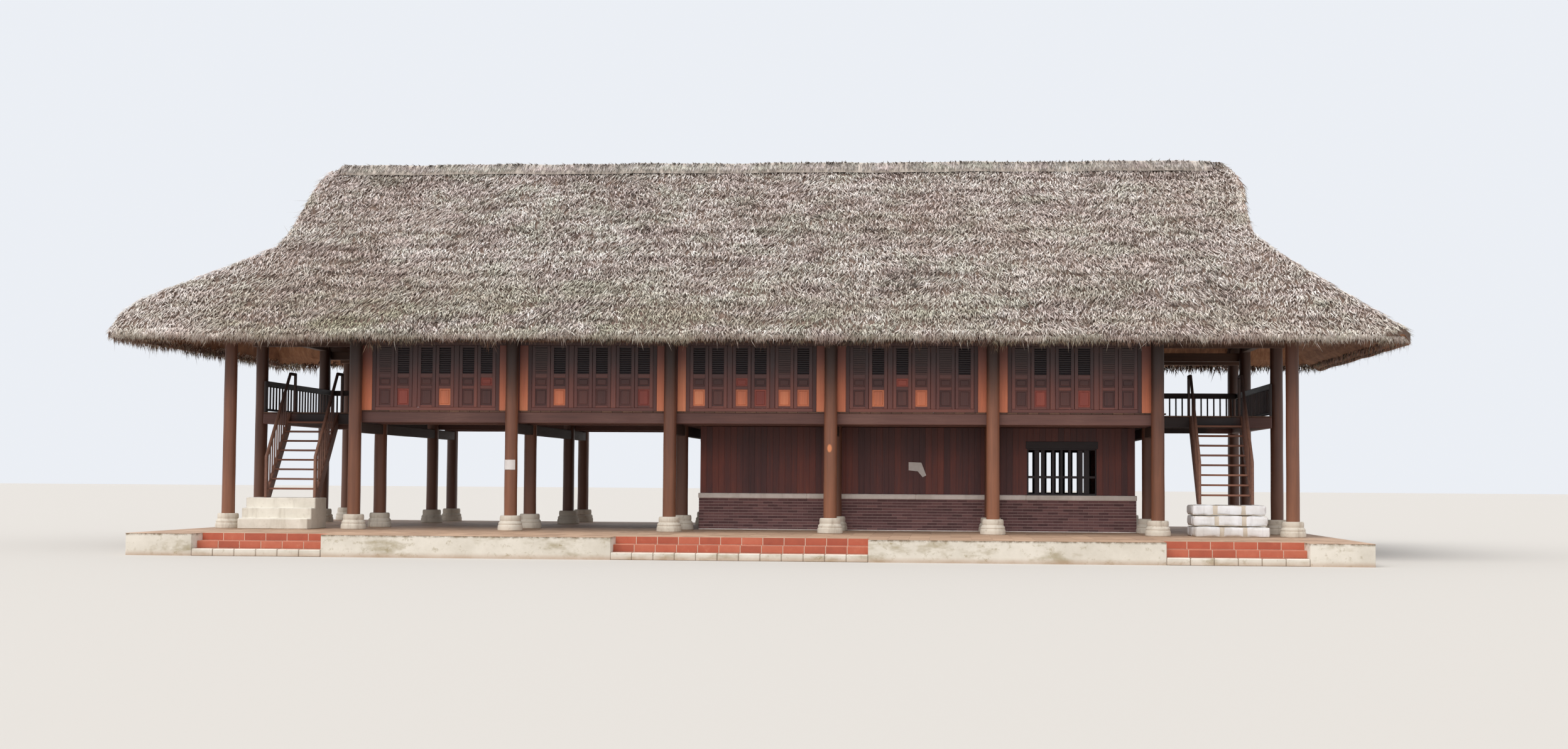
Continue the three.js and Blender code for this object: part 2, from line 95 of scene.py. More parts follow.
class Wire:  # one socket of a finish, used in plain expressions
    def __init__(self, finish, socket):
        self.finish = finish
        self.socket = socket

    def math(self, operation, first, second, clamp=False):
        settings = {"operation": operation, "use_clamp": clamp}
        return self.finish.node("Math", settings, {0: first, 1: second})

    def __add__(self, other):
        return self.math("ADD", self, other)

    def __radd__(self, other):
        return self.math("ADD", other, self)

    def __sub__(self, other):
        return self.math("SUBTRACT", self, other)

    def __rsub__(self, other):
        return self.math("SUBTRACT", other, self)

    def __mul__(self, other):
        return self.math("MULTIPLY", self, other)

    def __rmul__(self, other):
        return self.math("MULTIPLY", other, self)

    def clamped(self):
        return self.math("ADD", self, 0.0, True)

    def ramp(self, low, high, start=0.0, end=1.0):  # smooth step between two values
        settings = {"interpolation_type": "SMOOTHSTEP"}
        return self.finish.node("MapRange", settings, {0: self, 1: low, 2: high, 3: start, 4: end})


class Finish:  # a material with its node tree
    def __init__(self, name, roughness=0.8):
        self.material = bpy.data.materials.new(name)
        self.material.use_nodes = True
        self.tree = self.material.node_tree
        self.shader = self.tree.nodes["Principled BSDF"]
        self.feed("Roughness", roughness)

    def node(self, kind, settings, inputs, output=0):
        made = self.tree.nodes.new("ShaderNode" + kind)
        for key, value in settings.items():
            if key == "stops":  # each is its place and its colour
                stops = made.color_ramp.elements
                stops.remove(stops[1])
                stops[0].position = value[0][0]
                stops[0].color = paintTone(value[0][1:])
                for place, *colour in value[1:]:
                    stops.new(place).color = paintTone(colour)
            else:
                setattr(made, key, value)
        for key, value in inputs.items():
            self.plug(value, made.inputs[key])
        return Wire(self, made.outputs[output])

    def plug(self, value, socket):
        if isinstance(value, Wire):
            self.tree.links.new(value.socket, socket)
        else:
            socket.default_value = paintTone(value) if socket.type == "RGBA" else value

    def feed(self, name, value):
        self.plug(value, self.shader.inputs[name])

    def place(self, size=(1, 1, 1), source=None, shift=(0, 0, 0)):  # from an attribute, or from the object
        if source:
            vector = self.node("Attribute", {"attribute_name": source}, {}, "Vector")
        else:
            vector = self.node("TexCoord", {}, {}, "Object")
        return self.node("Mapping", {}, {"Vector": vector, "Scale": size, "Location": shift})

    def axes(self):
        made = self.node("SeparateXYZ", {}, {0: self.place()})
        return [Wire(self, socket) for socket in made.socket.node.outputs]

    def noise(self, size, detail=4.0, rough=0.6, source=None, shift=(0, 0, 0)):
        size = size if isinstance(size, tuple) else (size, size, size)
        inputs = {"Scale": 1.0, "Detail": detail, "Roughness": rough}
        inputs["Vector"] = self.place(size, source, shift)
        return self.node("TexNoise", {}, inputs)

    def attribute(self, name):
        return self.node("Attribute", {"attribute_name": name}, {}, "Fac")

    def colours(self, factor, stops):
        return self.node("ValToRGB", {"stops": stops}, {0: factor})

    def mix(self, factor, first, second):
        settings = {"data_type": "RGBA", "clamp_factor": True}
        return self.node("Mix", settings, {0: factor, 6: first, 7: second}, 2)

    def bump(self, height, strength, distance):
        inputs = {"Height": height, "Strength": strength, "Distance": distance}
        self.feed("Normal", self.node("Bump", {}, inputs))


def woodFinish(name, stops, roughness=0.55, grain=1.0, coat=0.0, dust=None, upward=None):
    wood = Finish(name)
    wood.feed("Coat Weight", coat)
    wood.feed("Coat Roughness", 0.35)
    streak = wood.noise((0.9 * grain, 16 * grain, 16 * grain), 5.0, 0.65, "grain")
    fibre = wood.noise((4 * grain, 90 * grain, 90 * grain), 3.0, 0.6, "grain")
    blotch = wood.noise(0.7, 3.0, 0.5)
    wood.shade = (streak * 0.55 + fibre * 0.2 + wood.attribute("tone") * 0.3 + blotch * 0.35 - 0.2).clamped()
    wood.colour = wood.colours(wood.shade, stops)
    if dust:  # colour and amount
        settled = (blotch.ramp(0.45, 0.7) * fibre.ramp(0.35, 0.65) * dust[1]).clamped()
        wood.colour = wood.mix(settled, wood.colour, dust[0])
    if upward:  # how another colour comes or goes with the height: low, high, start, end, colour
        wood.colour = wood.mix(wood.axes()[2].ramp(*upward[:4]), wood.colour, upward[4])
    wood.feed("Base Color", wood.colour)
    wood.feed("Roughness", (fibre * 0.3 + streak * 0.15 + (roughness - 0.22)).clamped())
    wood.bump(streak * 0.6 + fibre * 0.4, 0.35, 0.004)
    return wood


# Mesh tools.

def newObject(name, mesh, finishes):
    made = bpy.data.objects.new(name, mesh)
    scene.collection.objects.link(made)
    for finish in finishes:
        mesh.materials.append(finish.material)
    return made


def settle(made, slot, *nodes):  # a finished piece takes its place on the house
    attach(made, "root")
    if nodes:
        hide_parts(*nodes)
    return made


def takeMesh(body, name):
    mesh = bpy.data.meshes.new(name)
    body.to_mesh(mesh)
    body.free()
    return mesh


def easeShade(mesh, angle):  # smooth faces that keep the edges sharp
    mesh.polygons.foreach_set("use_smooth", [True] * len(mesh.polygons))
    mesh.set_sharp_from_angle(angle=math.radians(angle))


def setPoints(mesh, name, values):  # a number or a vector kept on each corner
    vector = np.ndim(values) == 2
    layer = mesh.attributes.new(name, "FLOAT_VECTOR" if vector else "FLOAT", "POINT")
    layer.data.foreach_set("vector" if vector else "value", np.ravel(values).astype(np.float32))


def edgesOf(verts):
    return list(dict.fromkeys(edge for v in verts for edge in v.link_edges))


def facesOf(verts):
    return list(dict.fromkeys(face for v in verts for face in v.link_faces))


def outward(body, verts=None):
    bmesh.ops.recalc_face_normals(body, faces=facesOf(body.verts if verts is None else verts))


def cutEdges(body, edges, offset, segments=1):
    bmesh.ops.bevel(body, geom=edges, offset=offset, affect="EDGES", segments=segments, profile=0.5,
                    material=-1)


def cutAcross(body, geom, axis, spot):  # new edges where a plane meets the shape
    point, normal = [0, 0, 0], [0, 0, 0]
    point[axis], normal[axis] = spot, 1
    bmesh.ops.bisect_plane(body, geom=geom, plane_co=point, plane_no=normal)


def wholeOf(body):
    return body.verts[:] + body.edges[:] + body.faces[:]


def drawOut(body, faces):  # extrudes the faces and gives their new corners
    drawn = bmesh.ops.extrude_face_region(body, geom=faces)
    return [v for v in drawn["geom"] if isinstance(v, bmesh.types.BMVert)]


def thicken(body):  # an upward sheet gets an underside, whose corners are given
    outward(body)
    if sum(f.normal.z for f in body.faces) < 0:
        bmesh.ops.reverse_faces(body, faces=body.faces[:])
    return drawOut(body, body.faces[:])


def cutOut(spans, low, high, least):  # what is left of the spans beside a gap
    return [piece for a, b in spans for piece in ((a, min(b, low)), (max(a, high), b))
            if piece[1] - piece[0] > least]


def unitBlock(chamfer):  # corners of a two metre cube, with the edges cut where asked
    shape = bmesh.new()
    bmesh.ops.create_cube(shape, size=2.0)
    if chamfer:
        cutEdges(shape, shape.edges[:], chamfer)
    outward(shape)
    points = np.array([v.co[:] for v in shape.verts])
    faces = [[v.index for v in f.verts] for f in shape.faces]
    shape.free()
    return points, faces


unitCut = 0.1
plainBlock = unitBlock(0)
cutBlock = unitBlock(unitCut)


class Blocks:  # many timbers, bricks or tiles joined in one mesh
    def __init__(self, seed):
        self.random = np.random.default_rng(seed)
        self.rows = []

    def put(self, centre, size, chamfer=0.0, paint=0, turn=None):
        self.rows.append((Vector(centre), Vector(size) / 2, chamfer, paint, turn, self.random.random()))

    def fill(self, x, y, z, chamfer=0.0, paint=0):
        spans = (x, y, z)
        self.put([sum(span) / 2 for span in spans], [span[1] - span[0] for span in spans], chamfer, paint)

    def bar(self, start, end, thick, chamfer):  # from point to point
        start, end = Vector(start), Vector(end)
        along = (end - start).normalized()
        across = Vector((0, 0, 1)).cross(along).normalized()
        turn = Matrix((along, across, along.cross(across))).transposed()
        self.put((start + end) / 2, ((end - start).length, thick, thick), chamfer, 0, turn)

    def mesh(self, name):
        points, faces, paints, tones, grains = [], [], [], [], []
        first = 0
        for centre, half, chamfer, paint, turn, tone in self.rows:
            corners, unitFaces = cutBlock if chamfer else plainBlock
            inset = (1 - np.abs(corners)) / unitCut * chamfer
            local = np.sign(corners) * (np.array(half) - inset)
            order = np.argsort([-h for h in half], kind="stable")  # the grain runs the long way
            grains.append(local[:, order] + self.random.random(3) * 40)
            placed = local @ np.array(turn).T if turn is not None else local
            points.append(placed + np.array(centre))
            faces += [[first + i for i in face] for face in unitFaces]
            paints += [paint] * len(unitFaces)
            tones += [tone] * len(corners)
            first += len(corners)
        mesh = bpy.data.meshes.new(name)
        mesh.from_pydata(np.concatenate(points), [], faces)
        mesh.polygons.foreach_set("material_index", paints)
        setPoints(mesh, "tone", tones)
        setPoints(mesh, "grain", np.concatenate(grains))
        return mesh

    def build(self, name, finishes, slot, *nodes):
        return settle(newObject(name, self.mesh(name), finishes), slot, *nodes)


class Shape:  # one mesh drawn with operators, with its grain and tone kept per part
    def __init__(self, seed):
        self.random = np.random.default_rng(seed)
        self.body = bmesh.new()
        self.tone = self.body.verts.layers.float.new("tone")
        self.grain = self.body.verts.layers.float_vector.new("grain")

    def since(self, before):
        return [v for v in self.body.verts if v not in before]

    def mark(self, verts, axis=2, tone=None, paint=0):  # the grain runs along the axis
        tone = self.random.random() if tone is None else tone
        shift = Vector(self.random.random(3) * 40)
        order = [axis, (axis + 1) % 3, (axis + 2) % 3]
        for v in verts:
            v[self.tone] = tone
            v[self.grain] = Vector([v.co[i] for i in order]) + shift
        if paint:
            for face in facesOf(verts):
                face.material_index = paint

    def roughen(self, verts, amount, size, seed):
        for v in verts:
            v.co += noise.noise_vector(v.co / size + Vector((seed, seed, seed))) * amount

    def turned(self, centre, profile, sides, wobble):  # spun on a lathe
        verts = [self.body.verts.new((centre[0] + r, centre[1], z)) for r, z in profile]
        edges = [self.body.edges.new(pair) for pair in zip(verts, verts[1:])]
        before = set(self.body.verts) - set(verts)
        bmesh.ops.spin(self.body, geom=verts + edges, cent=(centre[0], centre[1], 0), axis=(0, 0, 1),
                       dvec=(0, 0, 0), angle=2 * math.pi, steps=sides, use_merge=True,
                       use_normal_flip=False, use_duplicate=False)
        bmesh.ops.remove_doubles(self.body, verts=self.since(before), dist=0.0005)
        made = self.since(before)
        outward(self.body, made)
        self.roughen(made, wobble, 0.35, centre[0])
        self.mark(made)

    def timber(self, x, y, z, chamfer=0.012, cutEvery=0.7, wobble=0.004, tone=None, paint=0):
        before = set(self.body.verts)
        size = [span[1] - span[0] for span in (x, y, z)]
        place = Matrix.Translation([sum(span) / 2 for span in (x, y, z)])
        bmesh.ops.create_cube(self.body, size=1.0, matrix=place @ Matrix.Diagonal((*size, 1)))
        cutEdges(self.body, edgesOf(self.since(before)), chamfer)
        axis = size.index(max(size))
        start = (x, y, z)[axis][0]
        pieces = int(size[axis] / cutEvery)
        for i in range(1, pieces):
            made = self.since(before)
            geom = made + edgesOf(made) + facesOf(made)
            cutAcross(self.body, geom, axis, start + i * size[axis] / pieces)
        made = self.since(before)
        outward(self.body, made)
        self.roughen(made, wobble, 0.5, start)
        self.mark(made, axis, tone, paint)

    def profile(self, points, x, chamfer=0.008):  # outline in Y and Z, drawn along X
        before = set(self.body.verts)
        face = self.body.faces.new([self.body.verts.new((x[0], y, z)) for y, z in points])
        bmesh.ops.translate(self.body, verts=drawOut(self.body, [face]), vec=(x[1] - x[0], 0, 0))
        made = self.since(before)
        outward(self.body, made)
        cutEdges(self.body, edgesOf(made), chamfer)
        self.mark(self.since(before), 1)

    def build(self, name, finishes, slot, *nodes, smooth=None):
        mesh = takeMesh(self.body, name)
        if smooth:
            easeShade(mesh, smooth)
        return settle(newObject(name, mesh, finishes), slot, *nodes)


# Camera, light and floor.

cameraSet = {"place": (4.123, -45.263, 1.573), "yaw": -0.08027, "pitch": 0.05143, "roll": 0.00664,
             "lens": 46.37, "sensor": 36.0, "reach": 500}
yaw, pitch, roll = [cameraSet[turn] for turn in ("yaw", "pitch", "roll")]
forward = Vector((math.sin(yaw) * math.cos(pitch), math.cos(yaw) * math.cos(pitch), math.sin(pitch)))
level = forward.cross(Vector((0, 0, 1))).normalized()
upright = level.cross(forward)
view = Matrix((level * math.cos(roll) + upright * math.sin(roll),
               upright * math.cos(roll) - level * math.sin(roll), -forward)).transposed().to_4x4()
camera = bpy.data.objects.new("camera", bpy.data.cameras.new("camera"))
camera.data.lens = cameraSet["lens"]
camera.data.sensor_width = cameraSet["sensor"]
camera.data.clip_end = cameraSet["reach"]
camera.matrix_world = Matrix.Translation(cameraSet["place"]) @ view
scene.collection.objects.link(camera)
scene.camera = camera

lightSet = {"sky": (0.86, 0.89, 0.94, 1), "skyPower": 0.97, "sunPower": 2.7, "sunSoftness": 60,
            "sunFrom": (-0.35, -0.5, 1.0), "floor": (190, 184, 176), "floorHalf": 260}
world = bpy.data.worlds.new("softSky")
world.use_nodes = True
sky = world.node_tree.nodes["Background"].inputs
sky["Color"].default_value = lightSet["sky"]
sky["Strength"].default_value = lightSet["skyPower"]
scene.world = world
sun = bpy.data.objects.new("softSun", bpy.data.lights.new("softSun", "SUN"))
sun.data.energy = lightSet["sunPower"]
sun.data.angle = math.radians(lightSet["sunSoftness"])
sun.rotation_euler = Vector(lightSet["sunFrom"]).to_track_quat("Z", "Y").to_euler()
scene.collection.objects.link(sun)
scene.view_settings.view_transform = "Standard"

floorFinish = Finish("paleFloor", 0.9)
floorFinish.feed("Base Color", lightSet["floor"])
floorShape = bmesh.new()
bmesh.ops.create_grid(floorShape, x_segments=2, y_segments=2, size=lightSet["floorHalf"])
studioFloor = newObject("studioFloor", takeMesh(floorShape, "studioFloor"), [floorFinish])
studioFloor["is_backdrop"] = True
print("camera, light and floor ready")


# Finishes of the timber. A stop is its place and its colour.

postWood = woodFinish("varnishedPostWood", [(0.15, 64, 38, 28), (0.45, 108, 67, 49), (0.8, 148, 96, 70)],
                      0.5, 0.7, 0.08)
postAcross, postBack, postHeight = postWood.axes()
postAgedAndShaded = postWood.mix(postHeight.ramp(0.6, 3.0, 0.5, 0.0), postWood.colour,
                        postWood.mix(postWood.shade, (110, 70, 48), (170, 112, 78)))
postAgedAndShaded = postWood.mix(postBack.ramp(-2.7, -0.9, 0.0, 0.45), postAgedAndShaded, (58, 38, 33))  # painted shade: darker to the rear, for the inner posts under the floor
# painted shade under the eaves: the posts darken toward the top, less on the outer corner posts
cornerPost = (postAcross * postAcross).ramp(10.5 ** 2, 11.0 ** 2)
postAgedAndShaded = postWood.mix(postHeight.ramp(2.9, 4.2) * (0.92 - cornerPost * 0.45), postAgedAndShaded, (38, 26, 23))
barePatch = {"place": (1.69, -3.0, 2.21), "size": (0.05, 0.09, 0.085), "colour": (214, 136, 90)}
fromPatch = postWood.place()
for operation, by in (("SUBTRACT", "place"), ("DIVIDE", "size")):
    fromPatch = postWood.node("VectorMath", {"operation": operation}, {0: fromPatch, 1: barePatch[by]})
patchReach = postWood.node("VectorMath", {"operation": "LENGTH"}, {0: fromPatch}, "Value")
postWood.feed("Base Color", postWood.mix(patchReach.ramp(0.7, 1.2, 1.0, 0.0), postAgedAndShaded, barePatch["colour"]))

beamWood = woodFinish("maroonBeamWood", [(0.1, 66, 41, 37), (0.5, 102, 68, 61), (0.9, 130, 92, 82)], 0.6,
                      dust=((138, 108, 96), 0.3))
beamAcross = beamWood.axes()[0]
fromMiddle = beamAcross * beamAcross  # painted shade: dark beside the hall, brown again past the stairs
gallery = fromMiddle.ramp(8.5 ** 2, 8.68 ** 2) * fromMiddle.ramp(10.25 ** 2, 10.5 ** 2, 0.9, 0.0)
beamWood.feed("Base Color", beamWood.mix(gallery, beamWood.colour, (44, 38, 39)))

eaveShade = (3.25, 4.2, 0.0, 0.85, (46, 40, 43))  # painted shade under the eaves: the wood darkens toward the eave
# painted shade: a dark timber for the parts in shade under the roof, darker still low down beneath the floor
shadeWood = woodFinish("darkRoofTimber", [(0.1, 52, 36, 30), (0.5, 82, 57, 46), (0.9, 112, 80, 62)], 0.75,
                       upward=(2.6, 3.2, 0.8, 0.0, (44, 33, 31)))
poleWood = woodFinish("brownRoofPole", [(0.1, 74, 50, 38), (0.5, 118, 82, 60), (0.9, 156, 114, 84)], 0.75)
wallWood = woodFinish("maroonWallWood", [(0.1, 70, 38, 36), (0.45, 106, 60, 53), (0.9, 146, 84, 68)], 0.5,
                      coat=0.15, upward=eaveShade)
panelWood = woodFinish("dullPanelWood", [(0.1, 60, 38, 38), (0.45, 88, 56, 53), (0.9, 116, 72, 64)], 0.6,
                       upward=eaveShade)
darkWood = woodFinish("darkLouvreWood", [(0.1, 33, 29, 33), (0.5, 48, 42, 46), (0.9, 68, 57, 60)], 0.6)
# painted shade: the bare boards darken toward the eave
brightWood = woodFinish("bareOrangeBoard", [(0.1, 160, 92, 66), (0.5, 218, 126, 88), (0.9, 246, 166, 120)],
                        coat=0.1, upward=(3.15, 4.3, 0.0, 1.0, (114, 70, 61)))
redWood = woodFinish("bareRedPanel", [(0.1, 108, 48, 42), (0.5, 146, 68, 56), (0.9, 178, 92, 72)], 0.5)
# painted shade: the room's boards darken toward the top, under the upper floor
boardWood = woodFinish("darkRoomBoard", [
    (0.1, 60, 40, 43), (0.4, 98, 62, 61), (0.65, 130, 72, 62), (0.95, 158, 92, 74)], 0.6, 1.3,
                       upward=(1.8, 2.5, 0.0, 0.5, (54, 42, 47)))
railWood = woodFinish("blackenedRailWood", [(0.1, 30, 24, 26), (0.5, 52, 40, 40), (0.9, 82, 62, 56)])
# painted shade: the stairs darken toward the top, under the eaves
stairWood = woodFinish("wornStairWood", [(0.1, 66, 42, 35), (0.5, 110, 74, 60), (0.9, 150, 108, 86)], 0.6,
                       dust=((170, 132, 108), 0.3), upward=(2.5, 3.5, 0.0, 0.85, (36, 31, 33)))
treadWood = woodFinish("paleTreadWood", [(0.1, 86, 56, 44), (0.5, 128, 84, 66), (0.9, 164, 116, 92)], 0.65)
deckWood = woodFinish("floorPlankWood", [(0.1, 56, 40, 33), (0.5, 94, 68, 54), (0.9, 134, 100, 78)], 0.7)
print("timber finishes ready")


# Finishes of the masonry.

def limewash(name, base, stain, amount, edgeLow=None, drawn=(5, 5, 0.7)):
    wash = Finish(name, 0.88)
    patches = wash.noise(1.3, 5.0, 0.65)
    specks = wash.noise(9, 4.0, 0.7)
    streaks = wash.noise(drawn)
    colour = wash.mix(patches.ramp(0.3, 0.75), base, wash.mix(0.5, base, (178, 168, 150)))
    dirty = (streaks.ramp(0.5, 0.72) * amount + specks.ramp(0.56, 0.72) * amount * 0.7).clamped()
    colour = wash.mix(dirty, colour, stain)
    if edgeLow:  # splashed by rain at the foot, worn bare at the rim
        height = wash.axes()[2]
        splash = height.ramp(0.0, edgeLow, 1.0, 0.0) * (patches * 0.7 + 0.25)
        colour = wash.mix(splash.clamped(), colour, (170, 138, 112))
        rim = height.ramp(plinthTop - 0.06, plinthTop - 0.01) * specks.ramp(0.35, 0.6)
        colour = wash.mix(rim * 0.85, colour, (112, 92, 66))
    wash.feed("Base Color", colour)
    wash.bump(patches * 0.5 + specks * 0.35 + streaks * 0.15, 0.5, 0.012)
    return wash


def speckled(name, size, first, second, roughness=0.95, rough=0.7, bump=None):  # fine grain in two colours
    made = Finish(name, roughness)
    grain = made.noise(size, 4.0, rough)
    made.feed("Base Color", made.mix(grain, first, second))
    if bump:
        made.bump(grain, *bump)
    return made


plasterWash = limewash("stainedPlinthWash", (220, 211, 197), (148, 132, 97), 0.7, 0.12, (1.5, 1.5, 3.2))
baseWash = limewash("postBaseWash", (222, 212, 196), (140, 120, 98), 0.45)
footWash = limewash("stairFootPlaster", (234, 227, 213), (170, 158, 138), 0.35)
stoneWash = limewash("whitewashedStone", (238, 236, 236), (158, 150, 144), 0.3)
stoneJoint = limewash("stoneFootJoint", (210, 196, 178), (150, 134, 114), 0.4)
copingWash = limewash("greyCoping", (252, 241, 232), (204, 186, 177), 0.35)
mortar = speckled("darkJointMortar", 20, (112, 96, 82), (164, 145, 127), bump=(0.5, 0.004))
paleGrout = speckled("paleTileGrout", 18, (196, 170, 146), (228, 210, 190), 0.9, bump=(0.5, 0.003))
brickMortar = speckled("greyBrickMortar", 20, (150, 124, 120), (196, 168, 160))
paper = speckled("blankPaper", 14, (232, 228, 224), (214, 208, 204), 0.7, 0.6, (0.3, 0.004))

stepTile = Finish("redStepTile")
tileGrain = stepTile.noise(6, 5.0, 0.65)
tileFine = stepTile.noise(70, 3.0)
tileColour = stepTile.colours((stepTile.attribute("tone") * 0.45 + tileGrain * 0.55).clamped(), [
    (0.2, 159, 80, 56), (0.5, 178, 92, 65), (0.8, 190, 110, 82)])
stepTile.feed("Base Color", stepTile.mix(tileGrain.ramp(0.6, 0.8, 0.0, 0.4), tileColour, (200, 154, 124)))
stepTile.feed("Roughness", tileGrain * 0.3 + 0.42)
stepTile.bump(tileGrain * 0.6 + tileFine * 0.4, 0.3, 0.002)

floorTile = Finish("tanFloorTile")
yardShade = floorTile.attribute("tone") * 0.28 + floorTile.noise(1.1, 5.0, 0.65) * 0.65 + 0.03
yardFine = floorTile.noise(40, 3.0)
floorTile.feed("Base Color", floorTile.colours(yardShade.clamped(), [
    (0.2, 150, 121, 99), (0.5, 178, 146, 120), (0.8, 204, 172, 144)]))
floorTile.feed("Roughness", yardFine * 0.3 + 0.5)
floorTile.bump(yardFine, 0.2, 0.002)

brickPaint = Finish("purpleBrick", 0.75)
brickGrain = brickPaint.noise(26, 4.0, 0.7)
brickShade = brickPaint.attribute("tone") * 0.4 + brickGrain * 0.3 + brickPaint.noise((0.9, 0.9, 1.6)) * 0.3
brickPaint.feed("Base Color", brickPaint.colours(brickShade.clamped(), [
    (0.2, 86, 58, 58), (0.5, 116, 80, 80), (0.8, 144, 102, 98)]))
brickPaint.bump(brickGrain, 0.5, 0.004)
print("masonry finishes ready")


# Finishes of the thatch.

def leafFinish(name, stops, green=0.0):
    leaf = Finish(name, 0.85)
    tone = leaf.attribute("tone")
    x, z = leaf.axes()[::2]
    patch = leaf.noise((0.5, 0.8, 1.3), 5.0, 0.65)
    tuft = leaf.noise((1.7, 2.4, 3.0), 3.0, 0.6, shift=(2, 8, 5))
    endLight = x.ramp(-12.5, -9.5, 0.27, 0.0) + x.ramp(8.5, 11.5, 0.0, 0.09)  # painted light: lighter toward both ends, where the hip slopes face away from the sun
    shade = (tone * 0.8 + patch + tuft * 0.85 + leaf.attribute("tip") * 0.2 + endLight - 0.88).clamped()
    colour = leaf.colours(shade, stops)
    hue = leaf.noise((1.1, 1.6, 2.0), 4.0, 0.65, shift=(9, 4, 6))
    colour = leaf.mix(hue.ramp(0.5, 0.64, 0.0, 0.45), colour, leaf.mix(shade, (98, 98, 78), (228, 226, 204)))
    colour = leaf.mix(hue.ramp(0.36, 0.5, 0.45, 0.0), colour, leaf.mix(shade, (104, 78, 72), (246, 222, 216)))
    damp = z.ramp(4.6, 6.6, green, 0.0) * z.ramp(4.4, 4.8, 0.35, 1.0) * patch.ramp(0.4, 0.6)
    damp = damp * x.ramp(-12.5, -10.5) * x.ramp(-9.0, 9.0, 1.0, 0.5)
    colour = leaf.mix(damp, colour, leaf.mix(tone, (108, 104, 74), (190, 184, 146)))
    drift = leaf.noise((0.12, 0.2, 0.3), 2.0, 0.5, shift=(7, 3, 1))
    leaf.feed("Base Color", leaf.mix(drift.ramp(0.45, 0.7, 0.0, 0.25), colour, (186, 158, 140)))
    return leaf


def mattedFinish(name, size, stops, strength):
    bed = Finish(name, 0.95)
    grain = bed.noise(size, 5.0, 0.7)
    patch = bed.noise(0.8, 3.0, 0.5)
    bed.feed("Base Color", bed.colours((grain * 0.7 + patch * 0.4 - 0.05).clamped(), stops))
    bed.bump(grain, strength, 0.02)
    return bed


thatchLeaf = leafFinish("greyPalmLeaf", [
    (0.05, 84, 68, 60), (0.28, 172, 154, 143), (0.52, 216, 202, 191), (0.85, 248, 241, 234)], 0.75)
ridgeLeaf = leafFinish("paleRidgeLeaf", [
    (0.08, 126, 114, 105), (0.4, 174, 164, 155), (0.7, 198, 189, 181), (0.95, 226, 220, 214)])
shadedLeaf = leafFinish("shadedEaveLeaf", [
    (0.08, 38, 30, 28), (0.4, 70, 52, 44), (0.7, 100, 76, 63), (0.95, 130, 102, 84)])
brownLeaf = leafFinish("brownUnderLeaf", [
    (0.08, 52, 38, 32), (0.4, 98, 70, 56), (0.7, 134, 98, 78), (0.95, 164, 128, 102)])
thatchBed = mattedFinish("mattedThatchBed", (3, 9, 9), [
    (0.2, 60, 47, 40), (0.5, 108, 88, 76), (0.8, 156, 134, 118)], 0.8)
underBed = mattedFinish("brownThatchUnderside", (14, 3, 3), [
    (0.2, 86, 58, 42), (0.5, 146, 102, 74), (0.8, 190, 140, 104)], 0.8)
capBed = mattedFinish("bundledRidgeBed", (36, 4, 4), [
    (0.2, 150, 136, 122), (0.5, 188, 176, 164), (0.8, 214, 204, 194)], 0.5)
print("thatch finishes ready")


# Plinth with its tiled top, and the front steps.

stepNames = ["left_steps", "centre_steps", "right_steps"]
stepBoxes = [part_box(name) for name in stepNames]
recessRear = stepBoxes[0][1].y
plinthSet = {"tile": 0.4, "joint": 0.004, "thick": 0.006, "uneven": 0.0015, "setBack": 0.008, "wobble": 0.005,
             "edge": 0.02, "least": 0.02}


def makePlinth():
    shape = Shape(11)
    back = plinthSet["setBack"]
    x0, x1 = plinthLow.x + back, plinthHigh.x - back
    y0, y1 = plinthLow.y + back, plinthHigh.y - back
    outline = [(x0, y0)]
    for low, high in stepBoxes:
        outline += [(low.x, y0), (low.x, high.y), (high.x, high.y), (high.x, y0)]
    outline += [(x1, y0), (x1, y1), (x0, y1)]
    face = shape.body.faces.new([shape.body.verts.new((x, y, 0)) for x, y in outline])
    top = drawOut(shape.body, [face])
    bmesh.ops.translate(shape.body, verts=top, vec=(0, 0, plinthTop - plinthSet["thick"]))
    outward(shape.body)
    standing = [e for e in shape.body.edges if abs(e.verts[0].co.z - e.verts[1].co.z) > 0.1]
    cutEdges(shape.body, standing, plinthSet["edge"], 2)
    for axis, spots in ((0, np.arange(-11.6, 11.7, 0.4)), (2, [0.14, 0.29])):
        for spot in spots:
            cutAcross(shape.body, wholeOf(shape.body), axis, spot)
    for v in shape.body.verts:
        if 0.01 < v.co.z < plinthTop - 0.03:
            v.co.y += (noise.noise(v.co * 2.3) - 0.3) * plinthSet["wobble"]
    shape.mark(shape.body.verts[:], 0, 0.5)
    shape.build("plinthBody", [plasterWash], "plinth_masonry", "plinth", smooth=40)


def makeFloorTiles():
    tiles = Blocks(12)
    size, half, least = plinthSet["tile"], plinthSet["joint"] / 2, plinthSet["least"]
    under = plinthTop - plinthSet["thick"]
    for y in np.arange(plinthLow.y, plinthHigh.y - 0.05, size):
        yEnd = min(y + size, plinthHigh.y)
        for x in np.arange(plinthLow.x, plinthHigh.x - 0.05, size):
            spans, behind = [(x, min(x + size, plinthHigh.x))], []
            for low, high in stepBoxes if y < recessRear else []:
                part = (max(x, low.x), min(x + size, high.x))
                behind += [part] if part[1] - part[0] > least and yEnd > recessRear + least else []
                spans = cutOut(spans, low.x, high.x, least)
            for start, parts in ((y, spans), (recessRear, behind)):
                for a, b in parts:
                    top = plinthTop - tiles.random.random() * plinthSet["uneven"]
                    tiles.fill((a + half, b - half), (start + half, yEnd - half), (under, top))
    tiles.build("plinthFloorTiles", [floorTile], "plinth_masonry")


stepSet = {"pitch": 0.41, "gap": 0.007, "sink": 0.006, "tile": 0.008, "kerb": 0.16, "chamfer": 0.002}


